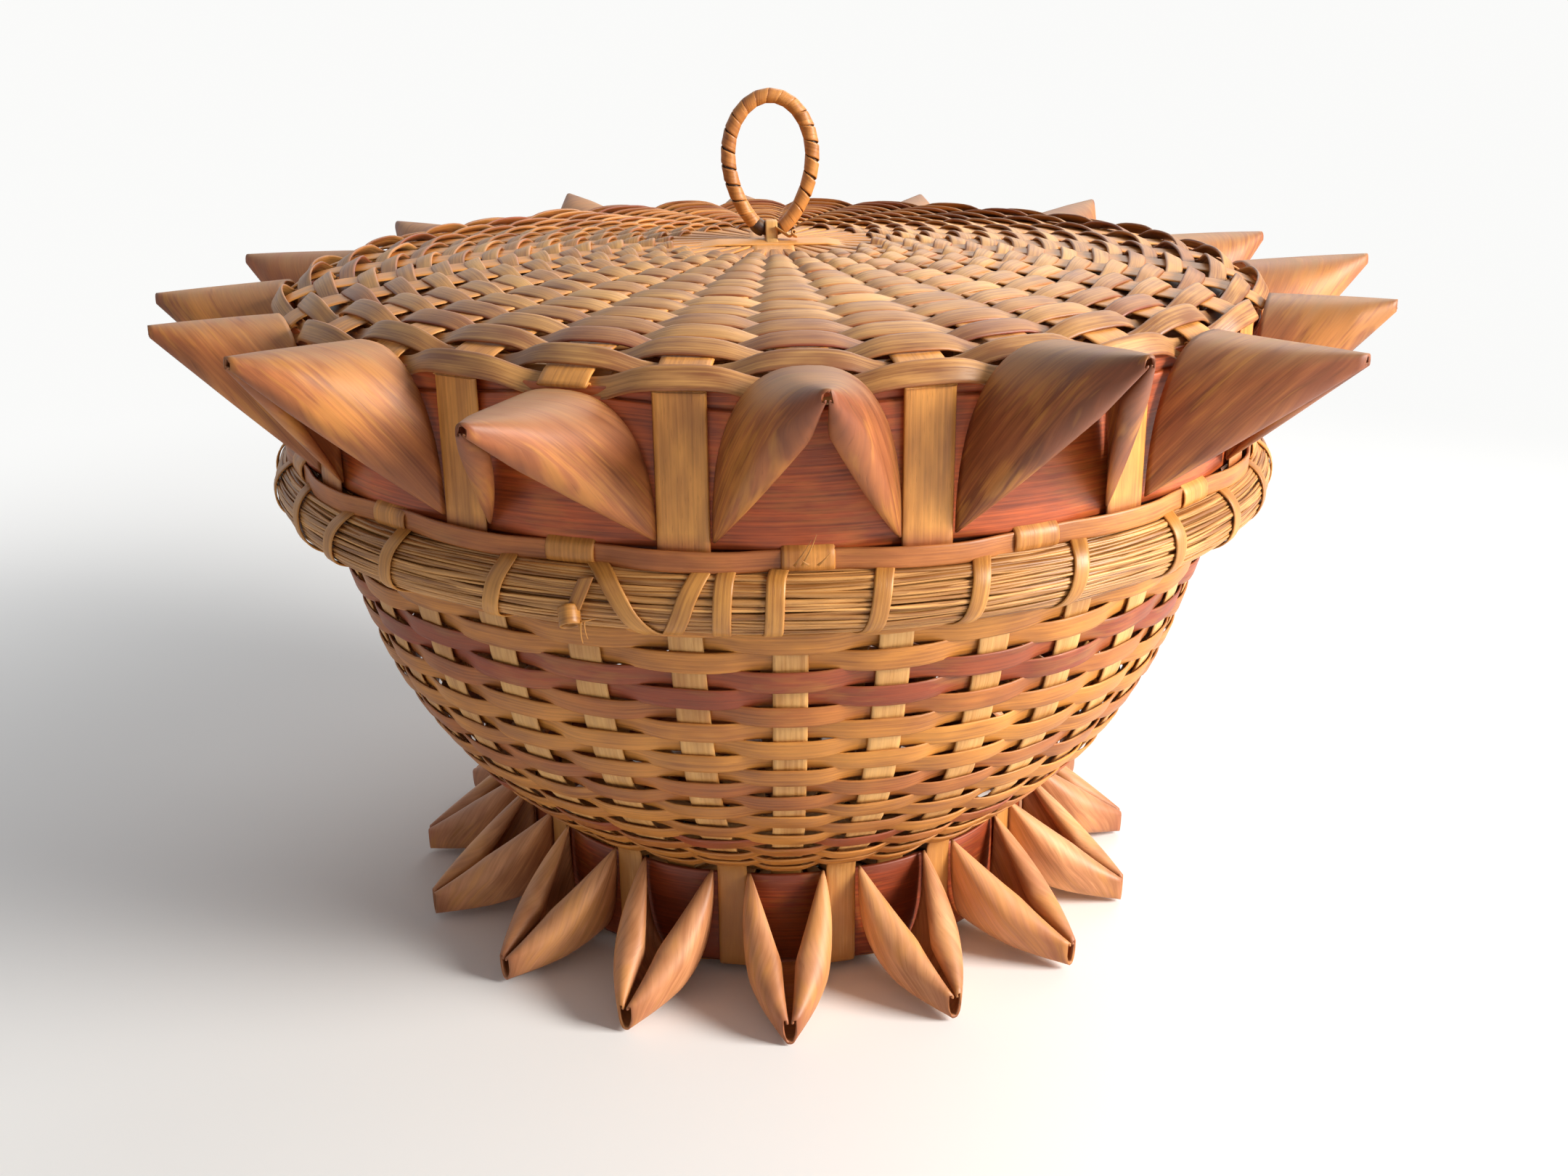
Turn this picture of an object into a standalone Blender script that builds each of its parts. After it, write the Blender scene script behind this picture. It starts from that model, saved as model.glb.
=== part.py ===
"""Lidded fancy basket of ash splints and sweetgrass.

The basket stands on a round foot with a ring of splint points. Its lid has a deep wall
with a ring of curled splints, a sweetgrass rim lashed on with a narrow splint, and a
wrapped loop to lift it by.

Metres, +Z up, origin on the floor under the centre, the side with the photographed
front towards -Y. Every wall has one flat for each stake, so a radius here is measured to
the middle of a flat, and CORNER turns it into the radius of the corners.
"""

import math

import bmesh
import bpy
import numpy as np

MM = 0.001

# Counts
CURLS = 16                       # curls round the lid, and points round the foot
STAKES = 2 * CURLS               # uprights: one behind each curl and one between them
CORNER = 1 / math.cos(math.pi / STAKES)
LID_TURN = math.radians(1.5)     # how far the lid is turned on the basket

# Splints
TOUCH = 0.3 * MM                 # gap between pieces that touch
WEAVE = 1.1 * MM                 # a woven wall, weaver crossing stake
SPLINT = 0.5 * MM                # thickness of a stake
LASHING = 0.4 * MM               # thickness of a lashing splint
BAND = 0.6 * MM                  # thickness of a wide band
CURL = 0.5 * MM                  # thickness of a curl

# Basket, from the floor up
FOOT_RADIUS = 55.3 * MM
FOOT_HEIGHT = 24.2 * MM
BELLY_RISE = 23.8 * MM
BELLY_FLARE = 21.3 * MM          # how much wider than the foot
SHOULDER_RISE = 20.0 * MM
SHOULDER_FLARE = 8.6 * MM        # how much wider than the belly
NECK_RISE = 20.0 * MM
NECK_FLARE = 5.8 * MM            # how much wider than the shoulder
NECK_HEIGHT = 40.6 * MM          # the straight wall inside the lid
BOWL_POINTS = 7                  # points of the round side, from the foot to the neck
SIDE_STAKE_WIDTH = 5.9 * MM
FOOT_BAND_GAP = 1.7 * MM         # dark gap over the foot's band

# Rim of the basket, two hoops with the stakes' ends between them
RIM_HOOP_HEIGHT = 6.0 * MM
RIM_HOOP_THICK = 1.2 * MM
RIM_LASHING_WIDTH = 3.0 * MM
RIM_LASHING_LOOPS = CURLS

# Lid
LID_PLAY = 0.3 * MM              # running gap between the rim's lashing and the lid's
DOME_RISE = 5.0 * MM
LID_HOOP_THICK = 0.9 * MM
LID_STAKE_WIDTH = 8.4 * MM
SPOKE_SHARE = 0.75               # share of the room that a narrowing spoke takes
SPOKE_START = 10.0 * MM
LID_EDGE_OVERHANG = 0.8 * MM
LID_EDGE_DROP = 2.4 * MM
DOME_POINTS = 5                  # points of its top, from the centre to the edge
WIDE_BAND_HEIGHT = 24.5 * MM
BAND_UNDER_EDGE = 2.2 * MM
NARROW_WEAVER_HEIGHT = 2.6 * MM
NARROW_WEAVER_LAP = 0.5 * MM     # how far it stands up over the wide band

# Sweetgrass rim of the lid
GRASS_HEIGHT = 10.6 * MM
GRASS_DEPTH = 5.0 * MM
GRASS_FLAT = 1.2 * MM            # flat stretch of its top and bottom, at the wall
GRASS_POINTS = 5                 # points of its round side
LID_LASHING_WIDTH = 3.3 * MM
LID_LASHING_LENGTHS = 2          # splints that lash it, each round its share of the rim

# Curls of the lid, half cones that lie against the wall
CURL_FACES = (6, 3)              # faces round a curl, and from its foot to its tip
CURL_LEG_LIFT = 1.2 * MM         # ends of the legs over the band's lower edge
CURL_CREST = 0.4 * MM            # crest over the lid's edge
CURL_REACH = 26.0 * MM
CURL_TIP_DROP = 1.0 * MM
CURL_TIP_BORE = 0.9 * MM         # radius of the hole at the tip
CURL_TIP_ROLL = math.radians(60)  # how far each edge rolls in under the tip

# Points of the foot, smaller curls turned upside down
POINT_REACH = 23.6 * MM
POINT_TIP_HEIGHT = 5.0 * MM
POINT_TOP_GAP = 1.2 * MM
POINT_KEEL_HEIGHT = 2.6 * MM
POINT_TIP_BORE = (1.1 * MM, 1.9 * MM)
POINT_TIP_ROLL = math.radians(40)

# Handle, a closed loop that leans in its keeper
HANDLE_HEIGHT = 28.0 * MM
HANDLE_WIDTH = 20.0 * MM
HANDLE_NECK = 0.5                # how much narrower the loop is at its foot
HANDLE_CORE = 1.15 * MM          # radius of the core
HANDLE_STEPS = 36                # points of the core, all the way round
HANDLE_TURNS = 20
HANDLE_TURN_WIDTH = 1.1 * MM
HANDLE_WRAP_THICK = 0.35 * MM
HANDLE_BARE = 0.12               # share of the loop with no wrapping, each side of its foot
WRAP_STEPS = 10                  # points of each turn of the wrapping
KEEPER_WIDTH = 2.4 * MM
KEEPER_FOOT = 3.0 * MM
KEEPER_ARCH_FACES = 3            # faces from its crown down to each foot

# Heights and radii that follow
foot_band_out = FOOT_RADIUS - SPLINT - TOUCH
foot_inner = foot_band_out - BAND - TOUCH
plate_z = WEAVE + TOUCH
foot_band_bottom = plate_z + SPLINT + TOUCH
foot_band_top = FOOT_HEIGHT - FOOT_BAND_GAP
belly_radius = FOOT_RADIUS + BELLY_FLARE
shoulder_radius = belly_radius + SHOULDER_FLARE
neck_radius = shoulder_radius + NECK_FLARE
shoulder_z = FOOT_HEIGHT + BELLY_RISE + SHOULDER_RISE
neck_z = shoulder_z + NECK_RISE
weave_top = neck_z + NECK_HEIGHT - RIM_HOOP_HEIGHT
rim_hoop_bottom = weave_top + LASHING + 2 * TOUCH
rim_hoop_top = rim_hoop_bottom + RIM_HOOP_HEIGHT
rim_top = rim_hoop_top + TOUCH + LASHING
rim_stake_out = neck_radius - WEAVE - TOUCH
rim_hoop_out = neck_radius - WEAVE + RIM_HOOP_THICK
rim_hoop_in = rim_stake_out - SPLINT - TOUCH - RIM_HOOP_THICK
rim_lashing_out = rim_hoop_out * CORNER + TOUCH + LASHING

lid_hoop_in = rim_lashing_out + LID_PLAY + LASHING + TOUCH
lid_hoop_out = lid_hoop_in + LID_HOOP_THICK
inner_stake_out = lid_hoop_out + TOUCH + SPLINT
band_in = inner_stake_out + TOUCH
band_out = band_in + BAND
outer_stake_out = band_out + TOUCH + SPLINT
narrow_in = outer_stake_out + TOUCH
lid_radius = outer_stake_out + LID_EDGE_OVERHANG
lid_rest = rim_top + TOUCH
dome_at_rim = DOME_RISE * (1 - (rim_lashing_out / lid_radius) ** 2)
dome_foot = lid_rest + SPLINT + TOUCH + WEAVE - dome_at_rim
lid_edge_z = dome_foot - LID_EDGE_DROP
band_top = lid_edge_z - BAND_UNDER_EDGE
band_bottom = band_top - WIDE_BAND_HEIGHT
narrow_bottom = band_bottom + NARROW_WEAVER_LAP - NARROW_WEAVER_HEIGHT
grass_top = narrow_bottom - LASHING - 2 * TOUCH
grass_bottom = grass_top - GRASS_HEIGHT
dome_top = dome_foot + DOME_RISE
handle_axis = dome_top + TOUCH + HANDLE_CORE

COLOURS = {
    "ash_weave": (0.58, 0.34, 0.13),
    "ash_stakes": (0.68, 0.48, 0.23),
    "dyed_ash": (0.50, 0.19, 0.09),
    "curled_ash": (0.55, 0.24, 0.10),
    "sweetgrass": (0.66, 0.47, 0.20),
    "lashing_ash": (0.56, 0.31, 0.09),
    "hoop_ash": (0.52, 0.34, 0.16),
    "handle_splint": (0.46, 0.20, 0.07),
}


def clear_scene():
    for old in list(bpy.data.objects):
        bpy.data.objects.remove(old)


def make_material(name, colour):
    material = bpy.data.materials.new(name)
    material.use_nodes = True
    shader = material.node_tree.nodes["Principled BSDF"]
    shader.inputs["Base Color"].default_value = (*colour, 1.0)
    shader.inputs["Roughness"].default_value = 0.6
    shader.inputs["Metallic"].default_value = 0.0
    return material


def add_object(name, data, material, parent):
    if not data.materials:
        data.materials.append(materials[material])
    thing = bpy.data.objects.new(name, data)
    thing.parent = parent
    basket.objects.link(thing)
    return thing


def empty(name, height, parent=None):
    """An empty on a joint's axis, which carries the pieces that move with it."""
    thing = bpy.data.objects.new(name, None)
    thing.location.z = height
    thing.parent = parent
    basket.objects.link(thing)
    return thing


def offset_path(path, distance):
    """The path moved to its right by distance, with mitred corners: inwards, for a path
    that runs down the outside of a wall."""
    points = np.array(path, float)
    steps = np.diff(points, axis=0)
    steps /= np.linalg.norm(steps, axis=1)[:, None]
    rights = np.stack([steps[:, 1], -steps[:, 0]], axis=1)
    before = np.vstack([rights[:1], rights])
    after = np.vstack([rights, rights[-1:]])
    mitre = before + after
    mitre /= (1 + (before * after).sum(axis=1))[:, None]
    return points + distance * mitre


def turned(name, profile, material, parent):
    """A closed profile of (radius, height) points, down its outer side and up its inner
    one, turned with one flat for each stake."""
    mesh = bpy.data.meshes.new(name)
    verts = [(radius * CORNER, 0, height) for radius, height in profile]
    edges = [(i, (i + 1) % len(verts)) for i in range(len(verts))]
    on_axis = [i for i, point in enumerate(profile) if point[0] == 0]
    if len(on_axis) == 2:
        edges = [edge for edge in edges if set(edge) != set(on_axis)]
    mesh.from_pydata(verts, edges, [])
    thing = add_object(name, mesh, material, parent)
    thing.rotation_euler.z = math.pi / STAKES
    screw = thing.modifiers.new("Turn", "SCREW")
    screw.axis = "Z"
    screw.angle = 2 * math.pi
    screw.steps = STAKES
    screw.render_steps = STAKES
    screw.use_merge_vertices = True
    screw.merge_threshold = 0.00001
    screw.use_smooth_shade = False
    return thing


def shell(name, path, thickness, material, parent):
    """A turned wall whose outer face is the path, run from its top down."""
    inner = offset_path(path, thickness)[::-1]
    return turned(name, [*map(tuple, path), *map(tuple, inner)], material, parent)


def bent_slab(columns, rows, place):
    """A flat slab of columns by rows, each point moved to place(u, v, w): u and v run
    along its two sides and w through its thickness, all from 0 to 1."""
    bm = bmesh.new()
    bmesh.ops.create_grid(bm, x_segments=columns, y_segments=rows, size=0.5)
    bmesh.ops.solidify(bm, geom=bm.faces[:], thickness=1.0)
    lowest = min(vert.co.z for vert in bm.verts)
    for vert in bm.verts:
        u, v, w = vert.co.x + 0.5, vert.co.y + 0.5, vert.co.z - lowest
        vert.co = place(u, v, w)
    face_outwards(bm)
    return bm


def face_outwards(bm):
    """Turns a closed mesh whose faces agree, but point inwards, the right way out."""
    if bm.calc_volume(signed=True) < 0:
        bmesh.ops.reverse_faces(bm, faces=bm.faces)


def mesh_of(name, bm):
    mesh = bpy.data.meshes.new(name)
    bm.to_mesh(mesh)
    bm.free()
    return mesh


def stake_frame(name, paths, width_at, rising, parent):
    """Every stake of a frame, joined by a plate inside their first points. The outer
    faces of the even and the odd stakes follow the two paths of (radius, height) points,
    with a width from width_at(radius). The stakes rise from the plate, or hang from it.
    Its faces are built one by one, because Solidify thins the plate where the stakes
    bend away from it."""
    inwards = -SPLINT if rising else SPLINT
    faces = []
    for path in paths:
        from_centre = [(0.0, path[0][1]), *path]
        faces.append((path, offset_path(from_centre, inwards)[1:]))
    bm = bmesh.new()
    plates = ([], [])
    for number in range(STAKES):
        angle = 2 * math.pi * number / STAKES
        cos, sin = math.cos(angle), math.sin(angle)
        rows = []
        for outer, inner in zip(*faces[number % 2]):
            half = width_at(outer[0]) / 2
            row = []
            for radius, height in (outer, inner):
                for x in (-half, half):
                    place = (x * cos + radius * sin, x * sin - radius * cos, height)
                    row.append(bm.verts.new(place))
            rows.append(row)
        for (a, b, c, d), (e, f, g, h) in zip(rows, rows[1:]):
            for face in ((a, b, f, e), (c, g, h, d), (a, e, g, c), (b, d, h, f)):
                bm.faces.new(face)
        a, b, c, d = rows[-1]
        bm.faces.new((a, b, d, c))
        plates[0].extend(rows[0][:2])
        plates[1].extend(rows[0][2:])
    outer, inner = plates
    bm.faces.new(outer)
    bm.faces.new(inner)
    for k in range(1, 2 * STAKES, 2):
        after = (k + 1) % (2 * STAKES)
        bm.faces.new((outer[k], outer[after], inner[after], inner[k]))
    bmesh.ops.recalc_face_normals(bm, faces=bm.faces)
    face_outwards(bm)
    add_object(name, mesh_of(name, bm), "ash_stakes", parent)


def smooth_through(stations, count):
    """The polynomial through (height, radius) stations, at count even heights."""
    heights = np.array([station[0] for station in stations])
    radii = np.array([station[1] for station in stations])
    samples = np.linspace(heights[0], heights[-1], count)
    curve = np.zeros(count)
    for i, radius in enumerate(radii):
        others = np.delete(heights, i)
        weight = np.prod([(samples - h) / (heights[i] - h) for h in others], axis=0)
        curve += radius * weight
    return list(zip(curve, samples))


def bowl_path():
    """Outer face of the woven side as (radius, height) points, from the top down."""
    stations = (
        (FOOT_HEIGHT, FOOT_RADIUS),
        (FOOT_HEIGHT + BELLY_RISE, belly_radius),
        (shoulder_z, shoulder_radius),
        (neck_z, neck_radius),
    )
    path = smooth_through(stations, BOWL_POINTS)
    path.append((neck_radius, weave_top))
    return path[::-1]


def dome_path(reach):
    """Top face of the lid as (radius, height) points, from the centre out to reach."""
    radii = np.linspace(0, reach, DOME_POINTS)
    return [(r, dome_foot + DOME_RISE * (1 - (r / lid_radius) ** 2)) for r in radii]


def make_basket_body(parent):
    side = bowl_path()
    shell("side_weave", side, WEAVE, "ash_weave", parent)

    inside = [tuple(point) for point in offset_path(side, WEAVE + TOUCH)]
    inside[0] = (rim_stake_out, rim_hoop_top)
    under_edge = (inside[-1][0], FOOT_HEIGHT - TOUCH)
    above = [under_edge, *inside[::-1]]
    paths = []
    for radius in (foot_inner, FOOT_RADIUS):
        paths.append([(radius, plate_z), (radius, foot_band_top), *above])
    stake_frame("stake_frame", paths, lambda radius: SIDE_STAKE_WIDTH, True, parent)

    path = [(foot_band_out, foot_band_top), (foot_band_out, foot_band_bottom)]
    shell("foot_band", path, BAND, "dyed_ash", parent)
    base = [(0.0, WEAVE), (FOOT_RADIUS, WEAVE), (FOOT_RADIUS, 0.0), (0.0, 0.0)]
    turned("base_weave", base, "ash_weave", parent)

    inner_hoop_out = rim_hoop_in + RIM_HOOP_THICK
    for name, outer in (("rim_outer_hoop", rim_hoop_out), ("rim_inner_hoop", inner_hoop_out)):
        path = [(outer, rim_hoop_top), (outer, rim_hoop_bottom)]
        shell(name, path, RIM_HOOP_THICK, "hoop_ash", parent)
    section = [
        (rim_hoop_out * CORNER, rim_hoop_bottom),
        (rim_hoop_in, rim_hoop_bottom),
        (rim_hoop_in, rim_hoop_top),
        (rim_hoop_out * CORNER, rim_hoop_top),
    ]
    lashing_object("rim_lashing", section, RIM_LASHING_WIDTH, 0, 1, RIM_LASHING_LOOPS, parent)


def lashing_slab(section, width, loops, start, advance):
    """A flat splint wound round a section of (radius, height) corners while it travels
    round the rim, from azimuth start. Returns the bmesh and its centre line."""
    ring = np.array([*section, section[0]])
    faces = [closed_offset(section, TOUCH), closed_offset(section, TOUCH + LASHING)]
    lengths = np.linalg.norm(np.diff(ring, axis=0), axis=1)
    marks = np.concatenate([[0], np.cumsum(lengths)]) / lengths.sum()
    turns = np.concatenate([k + marks[:-1] for k in range(loops)])

    def point(turn, side, shift):
        share = turn % 1.0
        face = np.vstack([faces[side], faces[side][:1]])
        radius = np.interp(share, marks, face[:, 0])
        height = np.interp(share, marks, face[:, 1])
        angle = start + advance * turn + shift / radius
        return radius * math.sin(angle), -radius * math.cos(angle), height

    last = len(turns) - 1

    def place(u, v, w):
        return point(turns[int(round(u * last))], int(round(w)), (v - 0.5) * width)

    line = np.array([point(turn, 1, 0.0) for turn in turns])
    return bent_slab(last, 1, place), line


def closed_offset(section, distance):
    """A closed clockwise section moved outwards by distance, with mitred corners."""
    looped = [section[-1], *section, section[0]]
    return offset_path(looped, -distance)[1:-1]


def least_gap(line, per_loop, width):
    """Least distance between stretches of a winding that are a loop apart, less its
    width."""
    least = 1.0
    for i in range(len(line) - per_loop):
        far = line[i + per_loop - 1:]
        least = min(least, np.linalg.norm(far - line[i], axis=1).min())
    return least - width


def lashing_object(name, section, width, length, lengths, loops, parent):
    """One of the lengths of splint that lash a rim, each round its share of the rim. The
    section starts where the splint passes between two stakes."""
    pitch = 2 * math.pi / (loops * lengths)
    start = 2 * math.pi * length / lengths + math.pi / STAKES
    slab, line = lashing_slab(section, width, loops, start, pitch)
    add_object(name, mesh_of(name, slab), "lashing_ash", parent)
    gap = least_gap(line, len(section), width)
    print(f"{name}: least gap to itself {gap / MM:.2f} mm")


def curl_slab(base_radius, lean, foot_z, rise, half_width, reach, tip_z, bore, roll):
    """A half cone against the wall. Its foot is an arch on the wall, half_width to each
    side and rise high, down where rise is negative. It shrinks in a straight line to a
    small open tip at reach, and there the edges roll in under it by roll."""
    bore_x, bore_z = bore
    up = math.copysign(1.0, rise)

    def place(u, v, w):
        angle = (2 * u - 1) * (math.pi / 2 + v * roll)
        side = (half_width - CURL) * (1 - v) + bore_x * v + CURL * w
        high = (abs(rise) - CURL) * (1 - v) + bore_z * v + CURL * w
        x = side * math.sin(angle)
        radius = base_radius + reach * v + lean * (1 - v) * max(math.cos(angle), 0.0)
        centre = foot_z * (1 - v) + tip_z * v
        return x, -math.sqrt(radius * radius - x * x), centre + up * high * math.cos(angle)

    return bent_slab(*CURL_FACES, place)


def curl_ring(prefix, parent, **shape):
    """Curls of one shape all the way round, which share a mesh."""
    mesh = mesh_of(prefix, curl_slab(**shape))
    for number in range(CURLS):
        curl = add_object(f"{prefix}_{number + 1:02d}", mesh, "curled_ash", parent)
        curl.rotation_euler.z = 2 * math.pi * number / CURLS


def make_foot_points(parent):
    stake_half = math.asin(SIDE_STAKE_WIDTH / 2 / FOOT_RADIUS)
    room = FOOT_RADIUS * math.sin(math.pi / CURLS - stake_half)
    top = FOOT_HEIGHT - POINT_TOP_GAP
    curl_ring(
        "foot_point", parent,
        base_radius=foot_band_out * CORNER + TOUCH,
        lean=0.0,
        foot_z=top,
        rise=POINT_KEEL_HEIGHT - top,
        half_width=room - TOUCH,
        reach=POINT_REACH,
        tip_z=POINT_TIP_HEIGHT,
        bore=POINT_TIP_BORE,
        roll=POINT_TIP_ROLL,
    )


def make_lid_curls(parent):
    stake_half = math.asin(LID_STAKE_WIDTH / 2 / outer_stake_out)
    room = outer_stake_out * math.sin(math.pi / CURLS - stake_half)
    legs = band_bottom + CURL_LEG_LIFT
    crest = lid_edge_z + CURL_CREST
    base = band_out * CORNER + TOUCH
    curl_ring(
        "lid_curl", parent,
        base_radius=base,
        lean=lid_radius * CORNER + TOUCH - base,
        foot_z=legs,
        rise=crest - legs,
        half_width=room - TOUCH,
        reach=CURL_REACH,
        tip_z=crest - CURL_TIP_DROP,
        bore=(CURL_TIP_BORE, CURL_TIP_BORE),
        roll=CURL_TIP_ROLL,
    )


def make_lid(parent):
    top = dome_path(lid_radius - LID_EDGE_DROP)
    edge = (lid_radius, lid_edge_z)
    under = offset_path([*top, edge], WEAVE)[::-1]
    under[-1][0] = 0.0
    turned("lid_top_weave", [*top, edge, *map(tuple, under)], "ash_weave", parent)

    spoke = [tuple(point) for point in offset_path([*top, edge], WEAVE + TOUCH)]
    spoke[0] = (SPOKE_START, spoke[0][1])
    grass_mid = (grass_top + grass_bottom) / 2
    stake_end = grass_bottom + TOUCH
    tucked = [(inner_stake_out, grass_top - TOUCH), (inner_stake_out, grass_mid)]
    tucked.append((inner_stake_out, stake_end))
    outer = [
        *spoke,
        (outer_stake_out, band_top),
        (outer_stake_out, narrow_bottom + LASHING),
        *tucked,
    ]
    inner = [
        *spoke[:-2],
        (inner_stake_out - SPLINT, spoke[-2][1]),
        (inner_stake_out, band_top),
        *tucked[1:],
    ]

    def spoke_width(radius):
        return min(LID_STAKE_WIDTH, SPOKE_SHARE * 2 * math.pi * radius / STAKES)

    stake_frame("lid_stake_frame", [inner, outer], spoke_width, False, parent)

    path = [(band_out, band_top), (band_out, band_bottom)]
    shell("lid_wide_band", path, BAND, "dyed_ash", parent)
    narrow_out = narrow_in + SPLINT
    path = [(narrow_out, narrow_bottom + NARROW_WEAVER_HEIGHT), (narrow_out, narrow_bottom)]
    shell("lid_narrow_weaver", path, SPLINT, "dyed_ash", parent)
    path = [(lid_hoop_out, grass_top), (lid_hoop_out, grass_bottom)]
    shell("lid_inner_hoop", path, LID_HOOP_THICK, "hoop_ash", parent)


def grass_outline():
    """Outer side of the sweetgrass rim as (radius, height) points, from its top down: a
    half ellipse with a short flat at each end."""
    middle = (grass_top + grass_bottom) / 2
    flat = band_in + GRASS_FLAT
    points = []
    for angle in np.linspace(0, math.pi, GRASS_POINTS):
        radius = flat + (GRASS_DEPTH - GRASS_FLAT) * math.sin(angle)
        points.append((radius, middle + GRASS_HEIGHT / 2 * math.cos(angle)))
    return points


def make_lid_rim(parent):
    outline = grass_outline()
    inner = [(band_in, grass_bottom), (band_in, grass_top)]
    turned("lid_grass_rim", [*outline, *inner], "sweetgrass", parent)

    section = [(lid_hoop_in, grass_top)]
    section += [(radius * CORNER, height) for radius, height in outline]
    section.append((lid_hoop_in, grass_bottom))
    loops = STAKES // LID_LASHING_LENGTHS
    for length in range(LID_LASHING_LENGTHS):
        lashing_object(
            f"lid_rim_lashing_{length + 1}", section, LID_LASHING_WIDTH, length,
            LID_LASHING_LENGTHS, loops, parent,
        )


def handle_point(share):
    """A point of the loop's centre line from its foot, which lies on the hinge's axis,
    with share from 0 there round to 1: an ellipse that narrows towards its foot."""
    angle = 2 * math.pi * share
    low = (1 + math.cos(angle)) / 2
    half = HANDLE_WIDTH / 2 - HANDLE_CORE
    tall = HANDLE_HEIGHT / 2 - HANDLE_CORE
    x = half * math.sin(angle) * (1 - HANDLE_NECK * low * low)
    return np.array([x, 0.0, tall * (1 - math.cos(angle))])


def handle_direction(share):
    """Direction of the loop's centre line at a share of the way round."""
    nearby = 0.001
    along = handle_point(share + nearby) - handle_point(share - nearby)
    return along / np.linalg.norm(along)


def handle_rise_beside(x):
    """How far the loop's centre line has risen from its foot at this x."""
    widest = max(np.linspace(0, 0.5), key=lambda share: handle_point(share)[0])
    points = np.array([handle_point(share) for share in np.linspace(0, widest)])
    return float(np.interp(x, points[:, 0], points[:, 2]))


def make_handle_loop(parent):
    curve = bpy.data.curves.new("handle_loop", "CURVE")
    curve.dimensions = "3D"
    curve.bevel_depth = HANDLE_CORE
    curve.bevel_resolution = 2
    spline = curve.splines.new("POLY")
    spline.points.add(HANDLE_STEPS - 1)
    spline.use_cyclic_u = True
    for number, point in enumerate(spline.points):
        point.co = (*handle_point(number / HANDLE_STEPS), 1.0)
    add_object("handle_loop", curve, "handle_splint", parent)


def make_handle_wrap(parent):
    """A flat splint wound round the core, from one side of its foot to the other."""
    steps = HANDLE_TURNS * WRAP_STEPS
    inner = (HANDLE_CORE + TOUCH) / math.cos(math.pi / WRAP_STEPS)

    def wound(turn, side, shift):
        share = HANDLE_BARE + (1 - 2 * HANDLE_BARE) * turn / HANDLE_TURNS
        centre = handle_point(share)
        along = handle_direction(share)
        outwards = np.array([along[2], 0.0, -along[0]])
        angle = 2 * math.pi * turn
        spoke = math.cos(angle) * outwards + math.sin(angle) * np.array([0.0, 1.0, 0.0])
        return centre + along * shift + spoke * (inner + HANDLE_WRAP_THICK * side)

    def place(u, v, w):
        return wound(u * HANDLE_TURNS, w, (v - 0.5) * HANDLE_TURN_WIDTH)

    wrap = mesh_of("handle_wrap", bent_slab(steps, 1, place))
    add_object("handle_wrap", wrap, "handle_splint", parent)
    line = np.array([wound(k / WRAP_STEPS, 0, 0.0) for k in range(steps + 1)])
    gap = least_gap(line, WRAP_STEPS, HANDLE_TURN_WIDTH)
    print(f"handle_wrap: least gap to itself {gap / MM:.2f} mm")


def make_handle_keeper(parent):
    """A splint over the loop's foot: a half round arch that clears the loop as it tilts,
    and a flat foot on the lid on each side."""
    arch = HANDLE_CORE + handle_rise_beside(KEEPER_WIDTH / 2) + TOUCH
    foot = dome_top + TOUCH - handle_axis
    last = KEEPER_ARCH_FACES + 2

    def place(u, v, w):
        outer = arch + SPLINT * w
        column = round((2 * u - 1) * last)
        side = math.copysign(1.0, column)
        if abs(column) <= KEEPER_ARCH_FACES:
            angle = math.pi / 2 * column / KEEPER_ARCH_FACES
            y, z = outer * math.sin(angle), outer * math.cos(angle)
        else:
            y = side * (arch + KEEPER_FOOT if abs(column) == last else outer)
            z = foot + SPLINT * w
        return (v - 0.5) * KEEPER_WIDTH, y, z

    mesh = mesh_of("handle_keeper", bent_slab(2 * last, 1, place))
    keeper = add_object("handle_keeper", mesh, "handle_splint", parent)
    keeper.location.z = handle_axis


clear_scene()
materials = {name: make_material(name, colour) for name, colour in COLOURS.items()}
basket = bpy.data.collections.new("lidded_splint_basket")
bpy.context.scene.collection.children.link(basket)

body = empty("basket_frame", 0.0)
lid = empty("lid_frame", 0.0)
lid.rotation_euler.z = LID_TURN
handle = empty("handle_frame", handle_axis, lid)

make_basket_body(body)
make_foot_points(body)
make_lid(lid)
make_lid_rim(lid)
make_lid_curls(lid)
make_handle_keeper(lid)
make_handle_loop(handle)
make_handle_wrap(handle)
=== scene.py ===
"""Looks of a lidded basket of ash splints and sweetgrass.

Weavers, stakes and lashings are ribbons with rounded edges along their own middle lines,
over and under each other as in the real weave, and the curls are bent sheets. Lengths are
millimetres, which weave() turns into metres, and azimuths are radians from the front (-Y)
towards +X. The table and the lights are given in metres.
"""

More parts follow.
